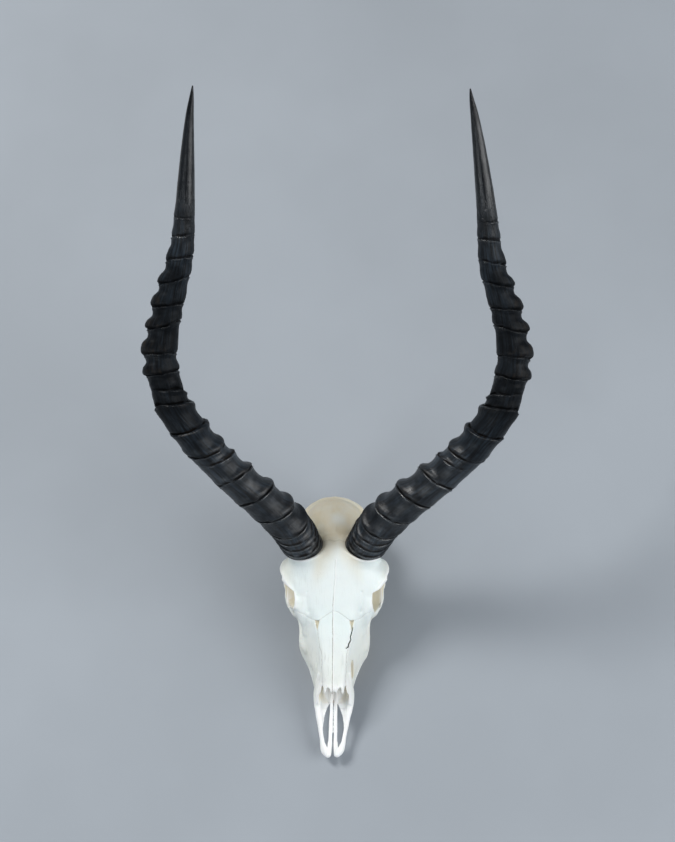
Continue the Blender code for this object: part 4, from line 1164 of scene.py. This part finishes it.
def horn_group():
    """The node group that rings a sheath round its centre line."""
    group = bpy.data.node_groups.new("Horn sheath", "GeometryNodeTree")
    group.is_modifier = True
    kinds = {"Centre line": "Geometry", "Ridges": "Object", "Sides": "Int", "Rows": "Int",
             "Material": "Material"}
    for name in ("Centre line", "Ridges", "Length", "Inner sign", "Seed", "Material", *HORN_SETTINGS):
        group.interface.new_socket(name, in_out="INPUT", socket_type="NodeSocket" + kinds.get(name, "Float"))
    group.interface.new_socket("Sheath", in_out="OUTPUT", socket_type="NodeSocketGeometry")
    tree = Tree(group)
    noise, pick, ramp, scaled, slope = tree.noise, tree.pick, tree.ramp, tree.scaled, tree.slope
    given = {s.name: Number(tree, s) for s in tree.add("NodeGroupInput").outputs}
    long, seed = given["Length"], given["Seed"]

    tube = tree.out("GeometryNodeMeshCylinder", {"Vertices": given["Sides"], "Side Segments": given["Rows"],
                                                 "Radius": 1.0, "Depth": 1.0}, "Mesh", fill_type="NONE")
    here = tree.out("GeometryNodeInputPosition")
    x, y, z = tree.split(here)
    kept = tree.add("GeometryNodeCaptureAttribute")
    for name in ("Turn", "Step"):
        kept.capture_items.new("FLOAT", name)
    tree.fill(kept, {"Geometry": tube, "Turn": tree.math("ARCTAN2", y, x), "Step": z + 0.5})
    tube, turn, step = (Number(tree, kept.outputs[name]) for name in ("Geometry", "Turn", "Step"))

    # The first rows run down the socket's wall, the rest up the outside
    outside = tree.math("GREATER_THAN", step, TURNOVER)
    along = pick(outside, slope(step, TURNOVER, 1.0) * long,
                 slope(step, TURNOVER, 0.004) * given["Socket depth"])
    sample = tree.add("GeometryNodeSampleCurve", {
        "Curves": given["Centre line"], "Length": tree.math("MINIMUM", along, long * 0.9995),
        "Value": tree.out("GeometryNodeInputRadius")}, mode="LENGTH", data_type="FLOAT")
    plain, centre, tangent = (tree.live(sample, name) for name in ("Value", "Position", "Tangent"))
    lying = scaled(tangent, tree.vector("DOT_PRODUCT", tangent, tuple(VIEWER)))
    front = tree.vector("NORMALIZE", tree.vector("SUBTRACT", tuple(VIEWER), lying))
    side = scaled(tree.vector("CROSS_PRODUCT", tangent, front), given["Inner sign"])
    cos, sin = tree.math("COSINE", turn), tree.math("SINE", turn)

    # Round each ring the grain's coordinates close on themselves
    grain = tree.combine(cos * GRAIN_RADIUS, sin * GRAIN_RADIUS, along)
    part = along / long
    wander = noise(grain, 55.0, 3.0, 0.55, seed) - 0.5
    turned = 1.0 - cos
    lean, rise = (tree.curve(part, points, -12.0, 12.0) for points in (CREASE_LEAN, CREASE_RISE))
    shifted = lean * sin + rise * (turned * turned * (2.0 - turned))
    wavy = shifted * -MM + along + wander * 2.4 * given["Ridge wave"]

    # Where a place lies between two creases, and how tall their bumps are there
    ridges = tree.out("GeometryNodeObjectInfo", {"Object": given["Ridges"]}, "Geometry")
    chain = tree.out("GeometryNodeMeshToCurve", {"Mesh": ridges})

    def of_ridge(name, kind="FLOAT"):
        value = tree.out("GeometryNodeInputNamedAttribute", {"Name": name}, None, data_type=kind)
        return tree.out("GeometryNodeSampleCurve", {"Curves": chain, "Value": value, "Length": wavy}, "Value",
                        mode="LENGTH", data_type=kind)

    def round_side(middle, narrow=3.0):
        """Share of a bump's height round the horn, full at its middle and gone opposite it."""
        return tree.math("POWER", tree.math("COSINE", turn - math.radians(middle)) * 0.5 + 0.5, narrow)

    between = tree.math("FRACT", of_ridge("number"))
    inner, outer, ahead = tree.split(of_ridge("heights", "FLOAT_VECTOR"))
    nearest = tree.out("GeometryNodeSampleNearest",
                       {"Geometry": ridges, "Sample Position": tree.combine(wavy)})
    crease = tree.out("GeometryNodeSampleIndex", {"Geometry": ridges, "Value": here, "Index": nearest},
                      None, data_type="FLOAT_VECTOR")
    beside = (wavy - tree.split(crease)[0]) * (1.0 / MM)
    beside_tall = inner * round_side(75.0) + outer * round_side(-75.0)
    front_tall = ahead * round_side(0.0, 2.0)
    low, bend, high, facing = (tree.curve(between, points, -0.1, 1.1)
                               for points in (LOW_BUMP, BEND_BUMP, HIGH_BUMP, FRONT_BUMP))
    bump = pick(ramp(part, 0.445, 0.475), high, pick(ramp(part, 0.31, 0.37), bend, low))
    swell = bump * beside_tall + facing * front_tall
    broken = ramp(noise(grain, 120.0, 2.0, 0.5, seed), 0.36, 0.60, 0.15, 1.0)
    lip = tree.curve(beside, CREASE_PROFILE, -1.1, 1.1) * broken * ramp(beside_tall + front_tall, 0.03, 0.22)

    # Lumps, grooves along the horn and folds near its base fade where the horn gets slim
    lump = noise(grain, 70.0, 3.0, 0.55, seed) - 0.5
    groove = noise(tree.vector("MULTIPLY", grain, (1.0, 1.0, 0.05)), 420.0, 2.0, 0.5, seed) - 0.5
    folded = noise(tree.combine(cos * 0.003, sin * 0.003, wavy), 300.0, 2.0, 0.6, seed) - 0.5
    folds = folded * ramp(part, 0.16, 0.03, 0.35, 1.9)
    lumps = given["Lumps"]
    uneven = (folds * lumps + (lump * 2.2 + groove * 0.42) * lumps) * slope(plain, 0.0, 0.012)
    rim = tree.math("EXPONENT", along * -900.0) * -0.0012
    outer = plain + swell * given["Ridge height"] + (lip * given["Lip height"] + uneven) + rim
    outer = outer * slope(step - 0.9985, 0.0015, 0.0)
    mouth = given["Socket radius"]
    hollow = mouth + (given["Socket top"] - mouth) * (along / given["Socket depth"])
    size = pick(outside, outer, hollow * tree.math("GREATER_THAN", step, 0.0005))

    # Rings near the base lean outwards
    tilt = slope(part, 0.56, 0.36) * given["Base tilt"] * sin * (size / -0.020)
    radial = tree.vector("ADD", scaled(front, cos), scaled(side, sin))
    place = tree.vector("ADD", centre, tree.vector("ADD", scaled(radial, size), scaled(tangent, tilt)))
    shaped = tree.out("GeometryNodeSetPosition", {"Geometry": tube, "Position": place})
    for name, value in (("swell", swell), ("lip", lip), ("share", part), ("across", sin), ("grain", grain)):
        shaped = tree.out("GeometryNodeStoreNamedAttribute",
                          {"Geometry": shaped, "Name": name, "Value": value},
                          data_type="FLOAT_VECTOR" if name == "grain" else "FLOAT", domain="POINT")
    for kind, inputs in (("MergeByDistance", {"Distance": 0.000002}), ("SetShadeSmooth", {}),
                         ("RealizeInstances", {}), ("SetMaterial", {"Material": given["Material"]})):
        shaped = tree.out("GeometryNode" + kind, {"Geometry": shaped, **inputs})
    tree.feed(tree.add("NodeGroupOutput").inputs[0], shaped)
    return group


def centre_line(name, path):
    """A horn's middle as a curve whose points carry the plain radius."""
    curve = bpy.data.curves.new(name, "CURVE")
    curve.dimensions = "3D"
    line = curve.splines.new("POLY")
    line.points.add(len(path.line) - 1)
    for point, place, radius in zip(line.points, metres(path.line), path.radii):
        point.co = (*place, 1.0)
        point.radius = radius * MM
    return curve


def ridge_chain(name, path):
    """The creases as a chain of points on the x axis, each at its distance along the horn."""
    places, *heights = np.array(path.ridges).T
    mesh = bpy.data.meshes.new(name)
    mesh.from_pydata([(at, 0, 0) for at in places * path.length * MM],
                     [(k, k + 1) for k in range(len(places) - 1)], [])
    store(mesh, "number", range(len(places)))
    store(mesh, "heights", np.transpose(heights) / TALLEST_RIDGE)
    return mesh


def horn_mesh(name, path, settings, group, material):
    line = new_piece(f"{name}_line", centre_line(f"{name}_line", path))
    ridges = new_piece(f"{name}_ridges", ridge_chain(f"{name}_ridges", path))
    sheath = line.modifiers.new("Sheath", "NODES")
    sheath.node_group = group
    values = {socket: getattr(settings, held) for socket, held in HORN_SETTINGS.items()}
    values.update({"Ridges": ridges, "Length": path.length * MM, "Inner sign": path.inner,
                   "Seed": settings.seed + 3.7 * path.inner, "Material": material})
    for socket in group.interface.items_tree:
        if socket.in_out == "INPUT" and socket.name in values:
            sheath[socket.identifier] = values[socket.name]
    mesh = plain_mesh(line)
    for work in (line, ridges):
        bpy.data.objects.remove(work)
    face_outwards(mesh)
    mesh.name = name
    return mesh


def horn_material(settings):
    """Black horn: painted cool sheen over dust, lengthwise grain, painted dark shade in the creases under
    thin pale lips, a glossy tip.
    """
    made, tree, shader = new_material("black_horn", settings.black)
    mix, noise, ramp = tree.mix, tree.noise, tree.ramp
    grain = tree.attribute("grain", "Vector")
    swell, lip, along, across = (tree.attribute(name) for name in ("swell", "lip", "share", "across"))

    def drawn_out(share):
        """The grain's coordinates, shrunk along the horn so that a pattern on them is drawn out."""
        return tree.vector("MULTIPLY", grain, (1.0, 1.0, share))

    streak = noise(drawn_out(0.05), 620.0, 4.0, 0.65, 3.0)
    patch = noise(grain, 42.0, 4.0, 0.6, 4.0)
    scuff = noise(drawn_out(0.4), 260.0, 5.0, 0.7, 6.0)
    drawn = noise(drawn_out(0.03), 1500.0, 2.0, 0.6, 8.0)
    flakes = tree.out("ShaderNodeTexVoronoi", {"Vector": drawn_out(0.45), "Scale": 210.0}, "Distance",
                      feature="DISTANCE_TO_EDGE")

    tip = ramp(along, 0.77, 0.83)
    # Dust and painted sheen: blue-grey slate over the black in streaky patches, strongest low on the horn,
    # faint higher up and less at the tip
    dust_and_sheen = ramp(patch, 0.34, 0.60, 0.25, 1.0) * ramp(streak, 0.38, 0.62) * ramp(drawn, 0.35, 0.60, 0.35, 1.0)
    dust_and_sheen = dust_and_sheen * (ramp(along, 0.30, 0.42, 1.0, 0.3) + ramp(along, 0.55, 0.72, 0.0, 0.35))
    base = mix(dust_and_sheen * (tip * -0.7 + 1.0), settings.black, settings.slate)
    base = mix(ramp(swell, 0.35, 0.85) * ramp(scuff, 0.44, 0.66) * 0.55, base, (0.026, 0.020, 0.015))
    worn = ramp(lip, 0.45, 0.85) * ramp(scuff, 0.45, 0.62) * ramp(patch, 0.42, 0.58, 0.15, 1.0)
    base = mix(worn * ramp(along, 0.32, 0.46, 0.9, 0.10), base, settings.brown)
    # Painted shade: the groove on the tip side of each crease near black, brownish in patches, and less
    # glossy
    crease_shade = ramp(lip, -0.03, -0.55) * ramp(along, 0.38, 0.52, 1.0, 0.6)
    crease = mix(ramp(patch, 0.45, 0.6), (0.0018, 0.0018, 0.0018), (0.007, 0.0055, 0.0045))
    base = mix(crease_shade, base, crease)
    cracks = ramp(flakes, 0.05, 0.01) * (ramp(along, 0.72, 0.76) * ramp(along, 0.83, 0.79))
    base = mix(cracks * ramp(scuff, 0.45, 0.6), base, (0.006, 0.006, 0.007))
    base = mix(ramp(across, -0.70, -0.95) * tip * 0.35, base, (0.050, 0.040, 0.032))

    raised = ramp(lip, 0.12, 0.5)
    rough = streak * 0.32 + ramp(along, 0.30, 0.62, 0.21, 0.24) + raised * -0.14 + crease_shade * 0.35
    rough = rough + ramp(scuff, 0.5, 0.7, 0.0, 0.12) - tip * 0.22
    gloss = ramp(along, 0.22, 0.38, 0.72, 0.14) + ramp(along, 0.68, 0.84, 0.0, 0.48)
    gloss = gloss * ramp(patch, 0.35, 0.65, 0.6, 1.15) * (raised * 1.3 + 0.8) * (crease_shade * -0.75 + 1.0)
    fine = (streak + scuff * 0.5 + drawn * 0.35 - cracks * 1.2) * (1.0 - tip * 0.5)
    tree.fill(shader, {"Base Color": base, "Roughness": rough, "IOR": 1.48, "Specular IOR Level": gloss,
                       "Normal": tree.bump(fine, 0.5, 0.0009)})
    return made


# ---------------------------------------------------------------- cheek teeth


def tooth_outline(turns, half_wide, half_long, lobes):
    """Half-width and half-length directions of a tooth's outline; molars pinch in between two lobes."""
    c, s = np.cos(turns), np.sin(turns)
    square = 1.0 / (np.abs(c) ** 3.2 + np.abs(s) ** 3.2) ** (1 / 3.2)
    x, y = c * square, s * square
    pinch = np.exp(-((y / 0.20) ** 2)) if lobes == 2 else np.zeros(len(turns))
    rib = 0.035 * np.cos(y * math.pi * lobes * 2.0) * np.clip(c * 2, 0, 1)
    x = x * (1 - 0.17 * pinch * np.where(c > 0, 0.7, 1.25)) + rib
    if lobes == 2:
        x = np.where(c < 0, x * (0.86 + 0.14 * np.abs(np.sin(y * math.pi))), x)
    return x * half_wide, y * half_long


def worn_face(x, y, half_wide, half_long, lobes, pit):
    """Height of the worn face over its lowest level: crescent ridges round pits."""
    height = np.zeros(len(x))
    for k in range(lobes):
        middle = (k - (lobes - 1) / 2) * half_long * 0.96
        across, along = x / half_wide, (y - middle) / (half_long / lobes)
        bow = across - 0.10 + 0.42 * (1 - along**2) * 0.5
        crescent = np.exp(-((bow / 0.17) ** 2)) * np.clip(1.15 - np.abs(along) ** 2.5, 0, 1)
        height = np.maximum(height, crescent)
    slope = 0.35 * np.clip(-x / half_wide, -1, 1) + 0.35
    return pit * height + 0.35 * slope


def tooth_mesh(name, side, long, wide, middle, back, settings):
    """One tooth from its closed root down to its worn face."""
    lobes = 2 if "upper_molar" in name else 1
    turns = np.linspace(0, 2 * math.pi, settings.sides, endpoint=False)
    half_wide, half_long = wide / 2, long / 2 - 0.28
    x, y = tooth_outline(turns, half_wide, half_long, lobes)
    levels = [(TOOTH_TOP, 0.0), (TOOTH_TOP, 0.45), (TOOTH_TOP - 0.3, 0.8), (23.5, 0.86), (20, 0.92)]
    levels += [(height, 1.0 - 0.035 * ((height - 8) / 10) ** 2) for height in np.linspace(17.5, 2.0, 14)]
    rings = [np.column_stack([x * size, y * size, np.full(len(x), height)]) for height, size in levels]
    for size in WORN_RINGS:
        rise = worn_face(x * size, y * size, half_wide, half_long, lobes, settings.pit / MM) + 0.05
        edge = 0.55 * np.exp(-((0.985 - size) / 0.02))
        rings.append(np.column_stack([x * size, y * size, rise + edge]))
    local = np.concatenate(rings)
    points = local.copy()
    points[:, 0] += smooth_noise(points, 2.6, 40 + int(back)) * 0.09
    points[:, 1] += smooth_noise(points, 3.1, 90 + int(back)) * 0.05
    up = points[:, 2] = np.maximum(points[:, 2], 0.02)
    placed = np.column_stack([side * (points[:, 0] + middle), points[:, 1] + back, up])
    n = len(turns)
    faces = [(i * n + j, i * n + (j + 1) % n, (i + 1) * n + (j + 1) % n, (i + 1) * n + j)
             for i in range(len(rings) - 1) for j in range(n)]
    mesh = mesh_from(name, metres(placed), faces)
    store(mesh, "height", up * MM)
    pitted = worn_face(local[:, 0], local[:, 1], half_wide, half_long, lobes, 1.0)
    store(mesh, "pit", np.where(up < 3.2, np.clip(pitted * 1.2 - 0.4, 0, 1), 0.0))
    face_outwards(mesh, doubles=0.000001)
    return mesh


def tooth_material(settings):
    """Ivory enamel with brown pits, a stained gum line and fine upright lines."""
    made, tree, shader = new_material("tooth_enamel", settings.ivory)
    mix, ramp = tree.mix, tree.ramp
    place = tree.out("ShaderNodeTexCoord", (), "Object")
    upright = tree.noise(tree.vector("MULTIPLY", place, (1.0, 1.0, 0.12)), 900.0, 3.0, 0.6, 1.0)
    cloud = tree.noise(place, 180.0, 4.0, 0.6, 2.0)
    base = mix(ramp(cloud, 0.35, 0.7, 0.0, 0.6), settings.ivory, (0.78, 0.74, 0.63))
    base = mix(ramp(tree.attribute("height"), 0.009, 0.017, 0.0, 0.55), base, (0.42, 0.31, 0.18))
    base = mix(ramp(upright, 0.55, 0.75, 0.0, 0.35), base, (0.38, 0.29, 0.18))
    base = mix(tree.attribute("pit") * 0.9, base, settings.stain)
    tree.fill(shader, {"Base Color": base, "Roughness": cloud * 0.25 + 0.16, "Coat Weight": 0.2,
                       "Coat Roughness": 0.15, "Normal": tree.bump(upright, 0.25, 0.0004)})
    return made


# ---------------------------------------------------------------- stage


def floor_material(settings):
    """A plain pale floor with a faint cloudiness."""
    made, tree, shader = new_material("pale_floor", settings.floor)
    place = tree.out("ShaderNodeTexCoord", (), "Object")
    cloud = tree.noise(place, 2.2, 4.0, 0.55)
    shade = tuple(c * 0.92 for c in settings.floor)
    tree.fill(shader, {"Base Color": tree.mix(tree.ramp(cloud, 0.35, 0.65), settings.floor, shade),
                       "Roughness": cloud * 0.1 + 0.75,
                       "Normal": tree.bump(tree.noise(place, 240.0, 3.0, 0.6), 0.05, 0.001)})
    return made


def add_light(name, place, width, watts, tint):
    """A square soft light that looks at the middle of the skull."""
    lamp = bpy.data.lights.new(name, "AREA")
    lamp.shape = "RECTANGLE"
    lamp.size = lamp.size_y = width
    lamp.energy = watts
    lamp.color = tint
    made = new_piece(name, lamp)
    made.location = place
    made.rotation_euler = (Vector(LIGHT_TARGET) - Vector(place)).to_track_quat("-Z", "Y").to_euler()


def add_camera():
    """A camera that looks square on the face plane from the distance that the paths were read for."""
    data = bpy.data.cameras.new("camera")
    data.sensor_fit = "VERTICAL"
    data.sensor_height = 24.0
    data.lens = VIEW_DISTANCE * data.sensor_height / PICTURE[1]
    aim = metres(from_picture(PICTURE[0] / 2, READ_CENTRE, SCALE_DEPTH))
    made = new_piece("camera", data)
    made.location = aim + VIEWER * VIEW_DISTANCE * MM
    made.rotation_euler = (FACE_TILT, 0.0, 0.0)
    bpy.context.scene.camera = made


# ---------------------------------------------------------------- operators and panel


def settle(piece, node):
    """Puts a finished piece in place of its CAD node."""
    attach(piece, "root")
    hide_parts(node)


class MakeSkull(bpy.types.Operator):
    """Grow the bleached cranium and upper jaw"""

    bl_idname = "impala.make_skull"
    bl_label = "Skull"

    def execute(self, context):
        settings = context.scene.impala_skull
        mesh = bone_mesh(settings)
        mesh.materials.clear()
        settle(new_piece("skull_bone", mesh, bone_material(settings)), "skull")
        return {"FINISHED"}


class MakeHorns(bpy.types.Operator):
    """Ring both horn sheaths round their centre lines"""

    bl_idname = "impala.make_horns"
    bl_label = "Horn sheaths"

    def execute(self, context):
        settings = context.scene.impala_horns
        material = horn_material(settings)
        group = horn_group()
        for name, path in HORNS.items():
            mesh = horn_mesh(name, path, settings, group, material)
            settle(new_piece(f"{name}_sheath", mesh), name)
        bpy.data.node_groups.remove(group)
        return {"FINISHED"}


class MakeTeeth(bpy.types.Operator):
    """Set the six upper cheek teeth of each side"""

    bl_idname = "impala.make_teeth"
    bl_label = "Cheek teeth"

    def execute(self, context):
        settings = context.scene.impala_teeth
        material = tooth_material(settings)
        for name, *sizes in tooth_row():
            for side, word in ((-1, "right"), (1, "left")):
                node = f"{name}_{word}"
                mesh = tooth_mesh(node, side, *sizes, settings)
                settle(new_piece(f"{node}_crown", mesh, material), node)
        return {"FINISHED"}


class MakeStage(bpy.types.Operator):
    """Lay the floor and set the lights and the camera"""

    bl_idname = "impala.make_stage"
    bl_label = "Stage"

    def execute(self, context):
        settings = context.scene.impala_stage
        half = settings.floor_size / 2
        corners = [(-half, -half, 0), (half, -half, 0), (half, half, 0), (-half, half, 0)]
        new_piece("floor", mesh_from("floor", corners, [(0, 1, 2, 3)]), floor_material(settings))
        add_light("key_light", (-1.2, 0.75, 2.0), 0.8, settings.key, (1.0, 0.995, 0.98))
        add_light("fill_light", (1.8, -0.6, 1.3), 2.0, settings.fill, (0.97, 0.99, 1.0))
        add_light("low_light", (-1.0, -1.5, 0.85), 0.9, settings.low, (0.90, 0.96, 1.0))
        world = bpy.data.worlds.new("studio")
        world.use_nodes = True
        sky = world.node_tree.nodes["Background"]
        sky.inputs["Color"].default_value = (0.84, 0.90, 1.0, 1.0)
        sky.inputs["Strength"].default_value = settings.sky
        context.scene.world = world
        context.scene.view_settings.view_transform = "Standard"
        add_camera()
        return {"FINISHED"}


class SkullPanel(bpy.types.Panel):
    """Lists the pieces and their sizes"""

    bl_idname = "VIEW3D_PT_impala_skull"
    bl_label = "Impala skull"
    bl_space_type = "VIEW_3D"
    bl_region_type = "UI"
    bl_category = "Skull"

    def draw(self, context):
        for operator, kind, held in PIECES:
            box = self.layout.box()
            box.operator(operator.bl_idname)
            for name in kind.__annotations__:
                box.prop(getattr(context.scene, held), name)


PIECES = ((MakeSkull, SkullSettings, "impala_skull"), (MakeHorns, HornSettings, "impala_horns"),
          (MakeTeeth, ToothSettings, "impala_teeth"), (MakeStage, StageSettings, "impala_stage"))


def register():
    for operator, kind, held in PIECES:
        bpy.utils.register_class(kind)
        bpy.utils.register_class(operator)
        setattr(bpy.types.Scene, held, bpy.props.PointerProperty(type=kind))
    bpy.utils.register_class(SkullPanel)


def unregister():
    bpy.utils.unregister_class(SkullPanel)
    for operator, kind, held in reversed(PIECES):
        delattr(bpy.types.Scene, held)
        bpy.utils.unregister_class(operator)
        bpy.utils.unregister_class(kind)


def main():
    register()
    bpy.ops.impala.make_skull()
    bpy.ops.impala.make_horns()
    bpy.ops.impala.make_teeth()
    bpy.ops.impala.make_stage()


if __name__ == "__main__":
    main()
